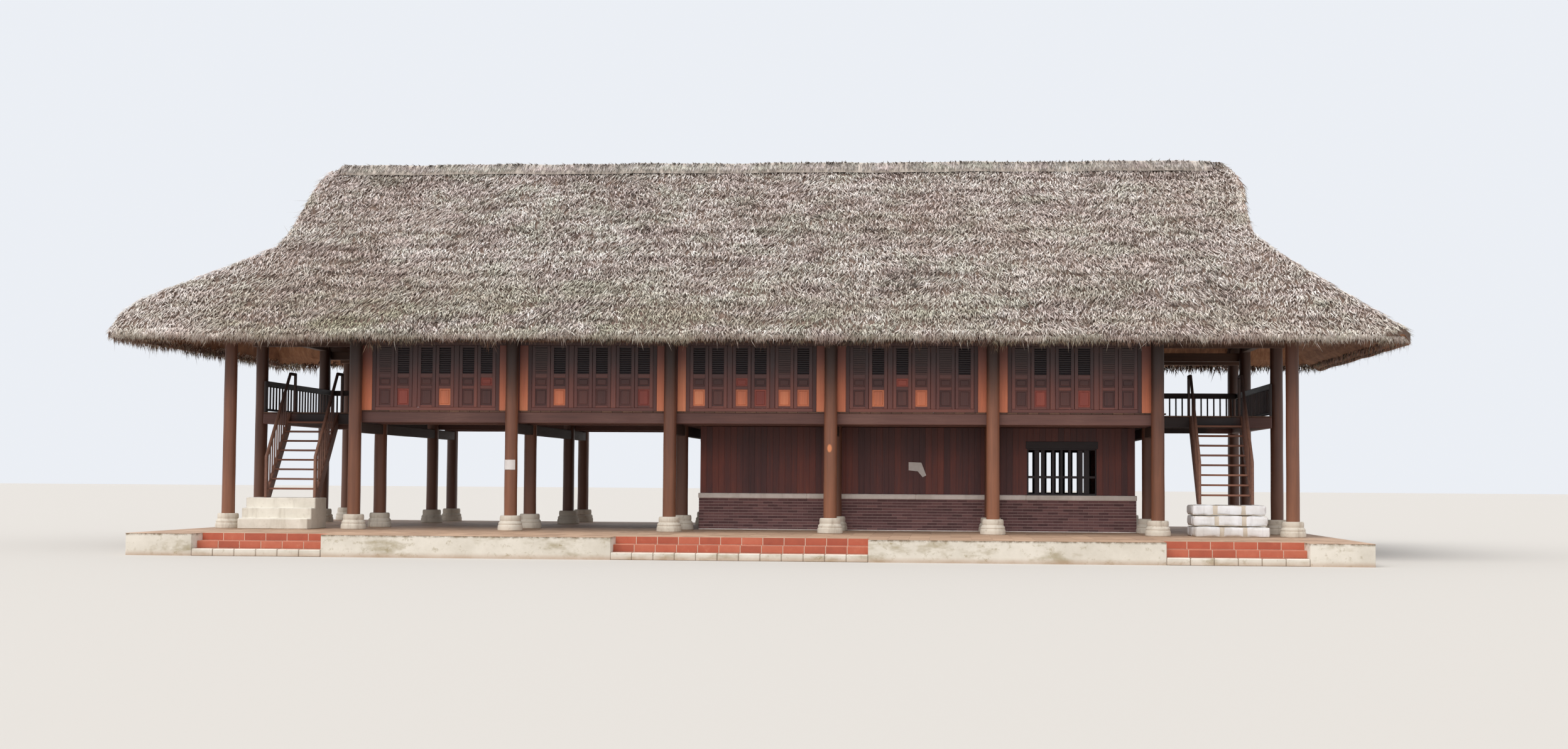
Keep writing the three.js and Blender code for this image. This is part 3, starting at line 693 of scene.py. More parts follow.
def makeSteps(name, low, high, seed):  # whitewashed blocks in front, then red tiles, on a mortar core
    rise, mid = high.z / 2, (low.y + high.y) / 2
    gap, sink, thick, kerb = [stepSet[key] for key in ("gap", "sink", "tile", "kerb")]
    steps = Blocks(seed)
    steps.fill((low.x, high.x), (low.y + 0.02, high.y), (0, rise - sink), 0, 2)
    steps.fill((low.x, high.x), (mid + sink, high.y), (rise - sink, 2 * rise - sink))
    steps.fill((low.x, high.x), (high.y - 0.012, high.y), (2 * rise - sink, plinthTop - 0.004))
    count = round((high.x - low.x) / stepSet["pitch"])
    pitch = (high.x - low.x) / count
    for i in range(count):
        start, end = low.x + i * pitch, low.x + (i + 1) * pitch
        slack = steps.random.uniform(0.003, 0.009)
        lift = steps.random.uniform(-0.003, 0.003)
        block = (start + slack, end - slack)
        steps.fill(block, (low.y + 0.002, low.y + kerb), (0, rise - 0.004 + lift), 0.012, 3)
        for y, z in (
                ((low.y + kerb + 0.01, mid - gap), (rise - thick, rise)),
                ((mid, mid + 0.012), (rise + gap, 2 * rise - gap)),
                ((mid + 0.016, high.y - 0.018), (2 * rise - thick, 2 * rise)),
                ((high.y - 0.016, high.y - 0.004), (2 * rise + gap, plinthTop - 0.002))):
            steps.fill((start + gap, end - gap), y, z, stepSet["chamfer"], 1)
    steps.build(name, [paleGrout, stepTile, mortar, plasterWash], "step_tile", name)


makePlinth()
makeFloorTiles()
for seed, (name, (low, high)) in enumerate(zip(stepNames, stepBoxes), 20):
    makeSteps(name, low, high, seed)
print("plinth and steps made")


# Post frames: turned stone bases, round posts, tie beams and rafters.

postSet = {"sides": 24, "ring": 0.45, "taper": 0.05, "topGap": 0.06, "wobble": 0.006, "baseWobble": 0.003,
           "tie": 0.16, "tieRise": 0.2, "floorTie": 0.217, "rafter": 0.18, "rafterStart": 0.35,
           "chamfer": 0.015}
baseProfile = [(0, 0), (0.255, 0), (0.265, 0.012), (0.266, 0.06), (0.262, 0.1), (0.25, 0.118), (0.247, 0.128),
               (0.253, 0.14), (0.25, 0.16), (0.236, 0.182), (0.222, 0.196), (0.217, 0.205), (0.221, 0.216),
               (0.223, 0.25), (0.221, 0.285), (0.214, 0.31), (0.2, 0.319), (0, 0.32)]


def undersideAt(y):
    return eaveLow + roofSlope * (min(y, 2 * midY - y) - eaveFront)


def makePostFrame(index):
    node, x, outer = f"post_frame_{index + 1}", postX[index], index in (0, 7)
    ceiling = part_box(node)[1].z if outer else undersideAt(midY)
    posts, bases, timbers = Shape(100 + index), Shape(200 + index), Shape(300 + index)
    for y in rowY:
        foot = plinthTop + baseProfile[-1][1]
        top = min(undersideAt(y - postRadius), undersideAt(y + postRadius), ceiling) - postSet["topGap"]
        rings = int((top - foot) / postSet["ring"])
        heights = [foot - 0.02 + (top - foot + 0.02) * i / rings for i in range(rings + 1)]
        swell = posts.random.uniform(0.985, 1.0)
        radii = [postRadius * swell * (1.0 - postSet["taper"] * i / rings) for i in range(rings + 1)]
        profile = [(0, heights[0])] + list(zip(radii, heights)) + [(0, heights[-1])]
        posts.turned((x, y), profile, postSet["sides"], postSet["wobble"])
        profile = [(r, plinthTop + z) for r, z in baseProfile]
        bases.turned((x, y), profile, postSet["sides"], postSet["baseWobble"])
    posts.build(f"{node}_posts", [postWood], "post_wood", node, smooth=40)
    bases.build(f"{node}_bases", [baseWash], "white_stone", node, smooth=28)
    half, drop = postSet["tie"] / 2, postSet["rafter"]
    wide = (x - half, x + half)
    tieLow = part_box("front_eave_beam")[1].z
    timbers.timber(wide, (rowY[0] - postRadius, rowY[3] + postRadius), (tieLow, tieLow + postSet["tieRise"]))
    if not outer:
        floorTie = (frontBeam[0].z - postSet["floorTie"], frontBeam[0].z)
        timbers.timber(wide, (rowY[0] - 0.06, rowY[3] + 0.06), floorTie)
    start = eaveFront + postSet["rafterStart"]
    bend = start + (ceiling - undersideAt(start)) / roofSlope
    path = [(start, undersideAt(start)), (min(bend, midY), min(ceiling, undersideAt(midY)))]
    points = path + [(y, z - drop) for y, z in reversed(path)]
    for side in (points, [(2 * midY - y, z) for y, z in points]):
        timbers.profile(side, (x - half * 0.8, x + half * 0.8), postSet["chamfer"])
    if outer:
        timbers.timber(wide, (bend - 0.1, 2 * midY - bend + 0.1), (ceiling - drop, ceiling))
    timbers.build(f"{node}_timbers", [shadeWood], "post_wood", node)


for index in range(len(postX)):
    makePostFrame(index)
print("post frames made")


# Long beams, laid in lengths that meet at the posts.

beamSet = {"chamfer": 0.012, "joint": 0.002, "cutEvery": 0.85, "wobble": 0.003, "endWide": 0.157}


def layBeam(beam, x, y, z):
    beam.timber(x, y, z, beamSet["chamfer"], beamSet["cutEvery"], beamSet["wobble"])


def layLengths(beam, start, end, y, z):
    ends = [start] + [x for x in postX[2:7:2] if start < x < end] + [end]
    gap = beamSet["joint"] / 2
    for a, b in zip(ends, ends[1:]):
        layBeam(beam, (a + gap, b - gap), y, z)


for seed, (name, finish) in enumerate([
        ("front_floor_beam", beamWood), ("rear_floor_beam", beamWood), ("front_eave_beam", shadeWood),
        ("front_inner_beam", shadeWood), ("rear_inner_beam", shadeWood), ("rear_eave_beam", shadeWood)], 400):
    low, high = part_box(name)
    beam = Shape(seed)
    layLengths(beam, low.x, high.x, (low.y, high.y), (low.z, high.z))
    beam.build(f"{name}_timbers", [finish], "beam_wood", name)


def makeMiddleBeams():  # a ring under the middle and the two galleries
    low, high = middleBeams
    beam = Shape(410)
    wide, endWide, edge = beamReach - postRadius, beamSet["endWide"], deckHigh.x
    for y in ((low.y, low.y + wide), (high.y - wide, high.y)):
        layLengths(beam, -edge, edge, y, (low.z, high.z))
    for x in ((-edge, endWide - edge), (edge - endWide, edge)):
        layBeam(beam, x, (low.y + wide, high.y - wide), (low.z, high.z))
    beam.build("middle_floor_beams_timbers", [beamWood], "beam_wood", "middle_floor_beams")


makeMiddleBeams()
print("long beams made")


# Upper floor: planks across the house, cut round the posts.

deckSet = {"plank": 0.22, "gap": 0.005, "notch": 0.142, "least": 0.03, "chamfer": 0.003}


def makeDeck():
    planks = Blocks(31)
    notch, gap = deckSet["notch"], deckSet["gap"] / 2
    x = deckLow.x
    while x < deckHigh.x - 0.01:
        end = min(x + deckSet["plank"], deckHigh.x)
        inHall = abs((x + end) / 2) < postX[-2] + postRadius
        low, high = (deckLow, deckHigh) if inHall else middleBeams
        pieces = [(low.y, high.y)]
        for px in postX[1:-1]:
            if x < px + notch and end > px - notch:
                for row in rowY[1:3]:
                    pieces = cutOut(pieces, row - notch, row + notch, deckSet["least"])
        for piece in pieces:
            planks.fill((x + gap, end - gap), piece, (deckLow.z, deckHigh.z), deckSet["chamfer"])
        x = end
    planks.build("upper_floor_planks", [deckWood], "floor_wood", "upper_floor")


makeDeck()
print("upper floor made")


# Walls of the hall: frames with bright boards beside the posts, and folding shutters.

wallSet = {"jamb": 0.39, "bright": 0.31, "sill": 0.07, "leaf": 0.399, "mullion": 0.11, "stile": 0.07,
           "depth": 0.06, "lean": 0.004, "field": 0.03, "slat": 0.046, "slatTurn": 38, "shutShare": 0.2,
           "shutTurn": 8, "panels": [(0.045, 0.4), (0.465, 0.64), (0.725, 1.285)]}
hallFinishes = [wallWood, brightWood, panelWood, redWood, darkWood]
orange, dull, red, dark = 1, 2, 3, 4  # places in the list of finishes
barePanels = {  # by bay: the leaves whose low and middle panels are bare wood
    1: ({1: red, 3: orange}, {5: red}), 2: ({1: orange, 5: red}, {}),
    3: ({0: orange, 2: orange, 3: red, 4: orange, 5: orange}, {2: red}),
    4: ({1: orange, 3: orange}, {2: red}), 5: ({1: red, 3: red}, {})}
hallEnds = [corner.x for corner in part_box("front_wall")]
bays = [(a + wallSet["jamb"], b - wallSet["jamb"]) for a, b in zip(postX[1:-2], postX[2:-1])]
openLow, openHigh = wallLow + wallSet["sill"], wallHigh - wallSet["sill"]


def hallWallFrame(node, face, seed, boards):
    parts = Blocks(seed)
    back = face + wallSet["depth"] * (1 if face < midY else -1)
    y = sorted((face, back))
    inner = (y[0] + 0.006, y[1] - 0.006)
    parts.fill(hallEnds, y, (openHigh, wallHigh), 0.006)
    for bay in bays:
        parts.fill(bay, inner, (wallLow, openLow), 0.003)
    for px in postX[1:-1]:
        corner = px in (postX[1], postX[-2])
        start = 0.03 if corner else postRadius - 0.01  # the end boards run on behind the corner posts
        for sign in (-1, 1):
            board = sorted((px + sign * start, px + sign * wallSet["bright"]))
            post = sorted((px + sign * wallSet["bright"], px + sign * wallSet["jamb"]))
            if hallEnds[0] < post[0] and post[1] < hallEnds[1]:
                parts.fill(board, inner, (wallLow, openHigh), 0.004, boards)
                parts.fill(post, (y[0] + 0.002, y[1] - 0.002), (wallLow, openHigh), 0.005, dull)
        if not corner:
            parts.fill((px - postRadius + 0.01, px + postRadius - 0.01), inner, (wallLow, openHigh))
    parts.build(f"{node}_frame", [wallWood, brightWood, panelWood], "wall_wood", node)


def shutterLeaves(parts, bay, face, bare):
    away = -1 if face < midY else 1
    stile, leafWide, mullion = wallSet["stile"], wallSet["leaf"], wallSet["mullion"]
    tall, field = openHigh - openLow, wallSet["field"]
    side = (bay[1] - bay[0] - 6 * leafWide - 2 * mullion) / 2

    def lay(x, near, far, low, high, chamfer=0.0, paint=0):  # near and far are depths behind the wall's face
        y = sorted((face - away * near, face - away * far))
        parts.fill(x, y, (openLow + low, openLow + high), chamfer, paint)

    for leaf in range(6):
        a = bay[0] + side + leaf * leafWide + (leaf // 2) * mullion + 0.004
        b = a + leafWide - 0.008
        lean = parts.random.uniform(-wallSet["lean"], wallSet["lean"])
        for x in ((a, a + stile), (b - stile, b)):
            lay(x, 0.008 + lean, 0.04 + lean, 0.003, tall - 0.003, 0.004)
        inside = (a + stile, b - stile)
        edges = [0.003] + [z for row in wallSet["panels"] for z in row] + [tall - 0.003]
        for low, high in zip(edges[::2], edges[1::2]):  # the rails between the panels
            lay(inside, 0.01 + lean, 0.038 + lean, low, high, 0.003)
        for (low, high), row in zip(wallSet["panels"], bare):
            paint = row.get(leaf, dull)
            lay(inside, 0.03 + lean, 0.038 + lean, low, high, 0, paint)
            lay((inside[0] + field, inside[1] - field), 0.018 + lean, 0.034 + lean, low + field, high - field,
                0.009, paint)
        low, high = wallSet["panels"][2]
        # painted shade: a dark sheet behind the slats stands for the shaded opening
        lay(inside, 0.037 + lean, 0.041 + lean, low, high, 0, dark)
        shut = parts.random.random() < wallSet["shutShare"]  # some leaves have their slats closed flat
        # painted shade: open slats take the dark finish
        deep, paint, turn = (0.04, dull, "shutTurn") if shut else (0.008, dark, "slatTurn")
        tilt = Matrix.Rotation(math.radians(wallSet[turn]) * -away, 3, "X")
        z = low + 0.022
        while z < high - 0.01:
            parts.put((sum(inside) / 2, face - away * (0.024 + lean), openLow + z),
                      (inside[1] - inside[0], 0.034, deep), 0.0, paint, tilt)
            z += wallSet["slat"]
    for pair in (1, 2):
        x = bay[0] + side + pair * 2 * leafWide + (pair - 1) * mullion
        lay((x + 0.002, x + mullion - 0.002), 0.002, 0.05, 0, tall, 0.005)
    for x in ((bay[0], bay[0] + side), (bay[1] - side, bay[1])):
        lay(x, 0.004, 0.05, 0, tall)


hallWallFrame("front_wall", frontFace, 41, orange)
for number, bay in enumerate(bays, 1):
    node, leaves = f"front_shutters_bay_{number}", Blocks(50 + number)
    shutterLeaves(leaves, bay, frontFace, barePanels[number])
    leaves.build(f"{node}_leaves", hallFinishes, "shutter_wood", node)
hallWallFrame("rear_wall", rearFace, 42, dull)
rearLeaves = Blocks(60)
for bay in bays:
    shutterLeaves(rearLeaves, bay, rearFace, ({}, {}))
rearLeaves.build("rear_wall_leaves", hallFinishes, "shutter_wood", "rear_wall")

endSet = {"board": 0.16, "least": 0.05, "joint": 0.002, "inset": 0.008, "uneven": 0.004, "sill": 0.1,
          "head": 0.08, "jamb": 0.07}


def endWall(side, seed):  # upright boards in three parts, with a frame round the doorway
    nodes = [f"{side}_end_wall_{part}" for part in ("front", "rear", "over_door")]
    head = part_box(nodes[2])[0].z
    boards = Blocks(seed)
    for node in nodes:
        low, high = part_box(node)
        overDoor = node == nodes[2]
        wide, deep = (low.x, high.x), (low.y, high.y)
        y = low.y
        while y < high.y - 0.001:
            end = min(y + endSet["board"], high.y)
            if high.y - end < endSet["least"]:
                end = high.y
            mid = (y + end) / 2
            beside = not middleBeams[0].y + 0.16 <= mid <= middleBeams[1].y - 0.16
            top = wallHigh if beside and not overDoor else high.z  # under the tie beam beside the middle
            inset = endSet["inset"] + boards.random.uniform(0, endSet["uneven"])
            span = (y + endSet["joint"], end - endSet["joint"])
            boards.fill((low.x + inset, high.x - inset), span, (low.z, top), 0.003)
            y = end
        boards.fill(wide, deep, (low.z, low.z + endSet["head" if overDoor else "sill"]), 0.006)
        if not overDoor:
            jamb = (high.y - endSet["jamb"], high.y) if node == nodes[0] else (low.y, low.y + endSet["jamb"])
            boards.fill(wide, jamb, (low.z, head), 0.006)
    boards.build(f"{side}_end_wall_boards", [wallWood], "wall_wood", *nodes)


endWall("left", 71)
endWall("right", 72)
print("hall walls made")


# Lower room: brick dado with its coping, upright boards, barred windows.

roomSet = {"course": 0.062, "brick": 0.22, "joint": 0.012, "gap": 0.003, "sunk": 0.0025, "least": 0.03,
           "brickDeep": 0.04, "uneven": 0.0015, "foot": 0.022, "coping": 0.11, "copingReach": 0.015,
           "copingLength": 2.4, "board": 0.135, "boardUneven": 0.004, "barDeep": 0.035, "railAt": 0.4,
           "rail": 0.05, "frame": 0.03, "sill": 0.04, "head": 0.16, "tieHalf": 0.0803, "tieDrop": 0.2175}
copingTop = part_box("room_front_dado")[1].z
copingLow = copingTop - roomSet["coping"]
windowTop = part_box("room_front_boards_over_window")[0].z


def brickWall(side, outSign, seed):  # bricks laid in broken joint on a mortar core
    node = f"room_{side}_dado"
    low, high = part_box(node)
    alongX = side in ("front", "rear")
    i, j = (0, 1) if alongX else (1, 0)
    wall = Blocks(seed)
    reach, sunk = roomSet["copingReach"], roomSet["sunk"]
    end = reach if alongX else 0
    span, deep = (low[i] + end, high[i] - end), (low[j] + reach, high[j] - reach)

    def lay(along, across, z, chamfer=0.0, paint=0):
        wall.fill(*((along, across) if alongX else (across, along)), z, chamfer, paint)

    core = (deep[0] + sunk, deep[1]) if outSign < 0 else (deep[0], deep[1] - sunk)
    inset = sunk if alongX else 0
    lay((span[0] + inset, span[1] - inset), core, (low.z, copingLow + 0.005), 0, 1)
    face = deep[0 if outSign < 0 else 1]
    count = int((copingLow - low.z) / roomSet["course"])
    rise = (copingLow - low.z) / count
    for row in range(count):
        z = (low.z + row * rise + roomSet["joint"] / 2, low.z + (row + 1) * rise - roomSet["joint"] / 2)
        start = span[0] - (roomSet["brick"] / 2 if row % 2 else 0)
        while start < span[1] - 0.01:
            a, b = max(start, span[0]), min(start + roomSet["brick"], span[1])
            start += roomSet["brick"]
            if b - a < roomSet["least"]:
                continue
            gap = roomSet["gap"] / 2
            ends = (a + (0 if a == span[0] else gap), b - (0 if b == span[1] else gap))
            front = face - outSign * wall.random.uniform(0, roomSet["uneven"])
            lay(ends, sorted((front, face - outSign * roomSet["brickDeep"])), z)
        if alongX:  # the bricks that close the corners
            for ends in ((span[0], span[0] + 0.03), (span[1] - 0.03, span[1])):
                lay(ends, (deep[0] + 0.004, deep[1] - 0.004), z)
    foot = sorted((face + outSign * 0.012, face - outSign * 0.02))
    lay(span, foot, (low.z, low.z + roomSet["foot"]), 0.004, 2)
    length = high[i] - low[i]
    pieces = max(1, round(length / roomSet["copingLength"]))
    for n in range(pieces):
        ends = (low[i] + n / pieces * length, low[i] + (n + 1) / pieces * length)
        lay(ends, (low[j], high[j]), (copingLow, copingTop), 0.012, 2)
    wall.build(f"room_{side}_brickwork", [brickPaint, brickMortar, copingWash], "dado_brick", node)


for seed, (side, outSign) in enumerate((("front", -1), ("rear", 1), ("left", -1), ("right", 1)), 81):
    brickWall(side, outSign, seed)


def boardRow(parts, span, deep, z, alongX=True):  # upright boards side by side
    step = roomSet["board"]
    start = span[0]
    while start < span[1] - 0.002:
        end = min(start + step, span[1])
        if span[1] - end < step * 0.35:
            end = span[1]
        shift = parts.random.uniform(0, roomSet["boardUneven"])
        across = (deep[0] + shift, deep[1] - shift)
        parts.fill(*(((start, end), across) if alongX else (across, (start, end))), z, 0.003)
        start = end


barSpans = {  # upright bars of each window, from edge to edge
    "front": [(6.06, 6.165), (6.2, 6.285), (6.44, 6.495), (6.62, 6.675), (6.8, 6.855), (7.0, 7.11),
              (7.13, 7.255)],
    "rear": [(6.18, 6.345), (6.395, 6.52), (6.618, 6.738), (6.807, 6.953), (7.023, 7.135), (7.232, 7.358),
             (7.422, 7.53)]}


def longRoomWall(side, seed):
    nodes = [f"room_{side}_boards_{part}" for part in ("left", "right", "over_window")]
    left, right, over = [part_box(node) for node in nodes]
    parts = Blocks(seed)
    deep = (left[0].y, left[1].y)
    ties = [x for x in postX if left[0].x < x < left[1].x]
    half, tieLow = roomSet["tieHalf"], frontBeam[0].z - roomSet["tieDrop"]
    edges = [left[0].x] + [edge for x in ties for edge in (x - half, x + half)] + [left[1].x]
    for span in zip(edges[::2], edges[1::2]):
        boardRow(parts, span, deep, (left[0].z, left[1].z))
    for x in ties:
        boardRow(parts, (x - half, x + half), deep, (left[0].z, tieLow))
    for low, high in (right, over):
        boardRow(parts, (low.x, high.x), deep, (low.z, high.z))
    parts.build(f"room_{side}_boarding", [boardWood], "board_wood", *nodes)
    window(side, (left[1].x, right[0].x), deep, seed + 10)


def window(side, x, deep, seed):  # dark frame with upright bars, one rail and a plank over it
    parts = Blocks(seed)
    wide, sill = roomSet["frame"], roomSet["sill"]
    y = (deep[0] - 0.006, deep[1] + 0.006)
    clear = (x[0] + wide, x[1] - wide)
    for jamb in ((x[0], clear[0]), (clear[1], x[1])):
        parts.fill(jamb, y, (copingTop, windowTop), 0.005)
    for z in ((copingTop, copingTop + sill), (windowTop - wide, windowTop)):
        parts.fill(clear, y, z, 0.005)
    front = (deep[0] - 0.01, deep[0] + 0.02) if side == "front" else (deep[1] - 0.02, deep[1] + 0.01)
    parts.fill((x[0] - wide, x[1] + wide), front, (windowTop, windowTop + roomSet["head"]), 0.004)
    middle, bar = sum(deep) / 2, roomSet["barDeep"] / 2
    rail, half = copingTop + roomSet["railAt"], roomSet["rail"] / 2
    parts.fill(clear, (middle - 0.012, middle + 0.012), (rail - half, rail + half), 0.003)
    for span in barSpans[side]:
        parts.fill(span, (middle - bar, middle + bar), (copingTop + sill, windowTop - wide), 0.004)
    parts.build(f"room_{side}_window", [darkWood], "board_wood")


def shortRoomWall(side, nodes, seed):
    parts = Blocks(seed)
    for node in nodes:
        low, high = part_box(node)
        boardRow(parts, (low.y, high.y), (low.x, high.x), (low.z, high.z), False)
    if len(nodes) > 1:  # a frame under the lintel, the last node, and beside the doorway
        wide = (low.x - 0.008, high.x + 0.008)
        parts.fill(wide, (low.y, high.y), (low.z - 0.05, low.z), 0.005)
        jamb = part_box(nodes[0])[0].y
        parts.fill(wide, (jamb - 0.05, jamb), (copingTop, low.z), 0.005)
    parts.build(f"room_{side}_boarding", [boardWood], "board_wood", *nodes)


longRoomWall("front", 91)
longRoomWall("rear", 92)
shortRoomWall("right", ["room_right_boards"], 95)
shortRoomWall("left", ["room_left_boards", "room_door_lintel"], 96)
print("lower room made")


# Blank papers: one square sheet on a front post, one torn sheet on the room's boards.

paperSet = {"post": 2, "width": 0.24, "low": 1.72, "high": 1.93, "off": 0.003, "curl": 0.004, "thick": 0.0015,
            "torn": [(3.30, 1.95), (3.58, 1.94), (3.69, 1.66), (3.61, 1.62), (3.50, 1.75), (3.30, 1.77)]}


def makePapers():
    shape = Shape(98)
    bmesh.ops.create_grid(shape.body, x_segments=8, y_segments=4, size=0.5)
    for v in shape.body.verts:
        angle = v.co.x * paperSet["width"] / (postRadius + paperSet["off"])
        z = paperSet["low"] + (v.co.y + 0.5) * (paperSet["high"] - paperSet["low"])
        radius = postRadius + paperSet["off"] + paperSet["curl"] * abs(v.co.x * 2) ** 4
        v.co = (postX[paperSet["post"]] + radius * math.sin(angle), rowY[0] - radius * math.cos(angle), z)
    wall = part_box("room_front_boards_left")[0].y - 0.002
    shape.body.faces.new([shape.body.verts.new((x, wall, z)) for x, z in paperSet["torn"]])
    outward(shape.body)
    bmesh.ops.solidify(shape.body, geom=shape.body.faces[:], thickness=-paperSet["thick"])
    outward(shape.body)
    shape.mark(shape.body.verts[:])
    shape.build("blank_papers", [paper], "white_stone")


makePapers()
print("papers made")


# Stairs: masonry feet, stringers, treads and looped handrails.

stairSet = {"half": 0.54, "stringer": 0.066, "depth": 0.23, "tread": 0.04, "treadDeep": 0.23, "nosing": 0.03,
            "count": 8, "rail": 0.065, "loop": 0.38, "baluster": 0.028, "pitch": 0.14}


def makeStair(side, seed):
    node = f"{side}_stair"
    low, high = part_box(node)
    centre = (low.x + high.x) / 2
    shape = Shape(seed)
    foot, front, newel = low.z, low.y, high.z
    head = high.y - stairSet["loop"]
    floor = deckHigh.z
    rise, run = floor - foot, head - front
    drop = stairSet["depth"] * math.hypot(rise, run) / run
    stringer = [(front, foot), (front + drop * run / rise, foot), (head, floor - drop), (head, floor)]
    rail, thin = stairSet["rail"], stairSet["baluster"] / 2
    railLow = newel - rise - rail
    handrail = [(front, foot), (front + rail, foot), (front + rail, railLow), (head, newel - rail),
                (high.y - rail, newel - rail), (high.y - rail, floor), (high.y, floor), (high.y, newel),
                (head - 0.02, newel), (front, railLow + rail)]
    for sign in (-1, 1):
        middle = centre + sign * stairSet["half"]
        x = (middle - stairSet["stringer"] / 2, middle + stairSet["stringer"] / 2)
        shape.profile(stringer, x)
        shape.profile(handrail, (x[0] + 0.004, x[1] - 0.004), 0.012)
        for i in range(1, int(run / stairSet["pitch"])):
            y = front + i * stairSet["pitch"]
            z = foot + (y - front) / run * rise
            tall = (z - 0.01, z + railLow - foot + 0.01)
            shape.timber((middle - thin, middle + thin), (y - thin, y + thin), tall, 0.004, 9, 0)
    reach = stairSet["half"] - 0.03
    for i in range(1, stairSet["count"] + 1):
        part = i / (stairSet["count"] + 1)
        y, z = front + part * run - stairSet["nosing"], foot + part * rise
        shape.timber((centre - reach, centre + reach), (y, min(y + stairSet["treadDeep"], head)),
                     (z - stairSet["tread"], z), 0.006, 0.5, 0.003, None, 1)
    shape.build(f"{node}_timbers", [stairWood, treadWood], "stair_wood", node)


footSet = {"rise": 0.22, "fronts": [-3.35, -3.09, -2.83], "edge": 0.014, "cutEvery": 0.15, "wobble": 0.006,
           "bed": 0.38, "upperBed": 0.34, "joint": 0.022, "cuts": 4, "round": 0.26, "rough": (0.014, 0.004)}


def makePlasterFoot():  # three plain rendered steps
    low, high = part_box("left_stair_foot")
    a, b, c = footSet["fronts"]
    z = [low.z + footSet["rise"] * i for i in range(3)]
    points = [(a, z[0]), (high.y, z[0]), (high.y, high.z), (c, high.z),
              (c, z[2]), (b, z[2]), (b, z[1]), (a, z[1])]
    shape = Shape(510)
    shape.profile(points, (low.x, high.x), footSet["edge"])
    for x in np.arange(low.x + footSet["cutEvery"], high.x - 0.05, footSet["cutEvery"]):
        cutAcross(shape.body, wholeOf(shape.body), 0, x)
    for v in shape.body.verts:
        if v.co.z > low.z + 0.01:
            v.co += noise.noise_vector(v.co * 3.0) * footSet["wobble"]
            v.co.x = min(max(v.co.x, low.x), high.x)
    shape.mark(shape.body.verts[:], 0, 0.5)
    shape.build("left_stair_foot_steps", [footWash], "white_stone", "left_stair_foot")


def makeStoneFoot():  # whitewashed rough stones in three courses
    low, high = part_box("right_stair_foot")
    shape = Shape(511)
    wide, rise, vary = high.x - low.x, footSet["rise"], shape.random
    for course, front in enumerate(footSet["fronts"]):
        z = low.z + course * rise
        shape.timber((low.x + 0.025, high.x - 0.025), (front + 0.028, high.y - 0.02), (z, z + rise - 0.02),
                     0.01, 9, 0, 0.5, 1)
        bed = footSet["upperBed" if course else "bed"]
        rows = [front + bed * i for i in range(3 if course else 4)] + [high.y]
        for y in zip(rows, rows[1:]):
            cuts = [0, 0.33 + vary.uniform(-0.04, 0.04), 0.66 + vary.uniform(-0.04, 0.04), 1]
            for a, b in zip(cuts, cuts[1:]):
                left, right = [0.002 if end in (0, 1) else footSet["joint"] for end in (a, b)]
                x = (low.x + a * wide + left, low.x + b * wide - right)
                tall = (z + 0.012 * vary.random(), z + rise - 0.008 - 0.01 * vary.random())
                stone(shape, x, (y[0] + 0.002, y[1] - 0.016), tall)
    shape.build("right_stair_foot_stones", [stoneWash, stoneJoint], "white_stone", "right_stair_foot",
                smooth=50)


def stone(shape, *spans):
    one = bmesh.new()
    size = [span[1] - span[0] for span in spans]
    middle = Vector([sum(span) / 2 for span in spans])
    bmesh.ops.create_cube(one, size=1.0, matrix=Matrix.Translation(middle) @ Matrix.Diagonal((*size, 1)))
    bmesh.ops.subdivide_edges(one, edges=one.edges[:], cuts=footSet["cuts"], use_grid_fill=True)
    for v in one.verts:
        offset = v.co - middle
        near = sorted(abs(offset[i]) / (size[i] / 2) for i in range(3))[1]
        v.co = middle + offset * (1 - footSet["round"] * max(0.0, near - 0.6))
        broad, fine = footSet["rough"]
        v.co += noise.noise_vector(v.co * 7.0) * broad + noise.noise_vector(v.co * 22.0) * fine
        for i, span in enumerate(spans):
            v.co[i] = min(max(v.co[i], span[0]), span[1])
    outward(one)
    mesh = takeMesh(one, "oneStone")
    before = set(shape.body.verts)
    shape.body.from_mesh(mesh)
    bpy.data.meshes.remove(mesh)
    shape.mark(shape.since(before), 0)


makeStair("left", 501)
makeStair("right", 502)
makePlasterFoot()
makeStoneFoot()
print("stairs made")


# Gallery railings: rails with cut edges and upright balusters.

railSet = {"top": 0.13, "low": 0.05, "lift": 0.03, "thick": 0.05, "rearPitch": 0.145, "sidePitch": 0.2,
           "baluster": 0.035}


def makeRailing(side, sign, seed):
    node = f"{side}_gallery_railing"
    low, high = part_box(node)
    shape = Shape(seed)
    thick, thin, lowRail = railSet["thick"], railSet["baluster"] / 2, low.z + railSet["lift"]
    outerX = (low.x, low.x + thick) if sign < 0 else (high.x - thick, high.x)
    rearX = (outerX[1], high.x) if sign < 0 else (low.x, outerX[0])
    rearY = (high.y - thick, high.y)
    for z in ((high.z - railSet["top"], high.z), (lowRail, lowRail + railSet["low"])):
        shape.timber(outerX, (low.y, high.y), z, 0.01, 0.8, 0.002)
        shape.timber(rearX, rearY, z, 0.01, 0.8, 0.002)
    for y in (low.y, high.y - thick):
        shape.timber(outerX, (y, y + thick), (low.z, high.z - 0.01), 0.008, 0.5, 0)
    clear = high.y - low.y - 2 * thick
    count = int(clear / railSet["sidePitch"])
    spots = [(sum(outerX) / 2, low.y + thick + (i + 0.5) * clear / count) for i in range(count)]
    clear = rearX[1] - rearX[0]
    count = int(clear / railSet["rearPitch"])
    spots += [(rearX[0] + (i + 0.5) * clear / count, sum(rearY) / 2) for i in range(count)]
    for x, y in spots:
        shape.timber((x - thin, x + thin), (y - thin, y + thin),
                     (lowRail + railSet["low"] - 0.005, high.z - railSet["top"] + 0.005), 0.005, 9, 0)
    shape.build(f"{node}_timbers", [railWood], "railing_wood", node)


makeRailing("left", -1, 521)
makeRailing("right", 1, 522)
print("railings made")


# Thatch: the roof's form as one height over the plan, used by the bed and by every leaf.

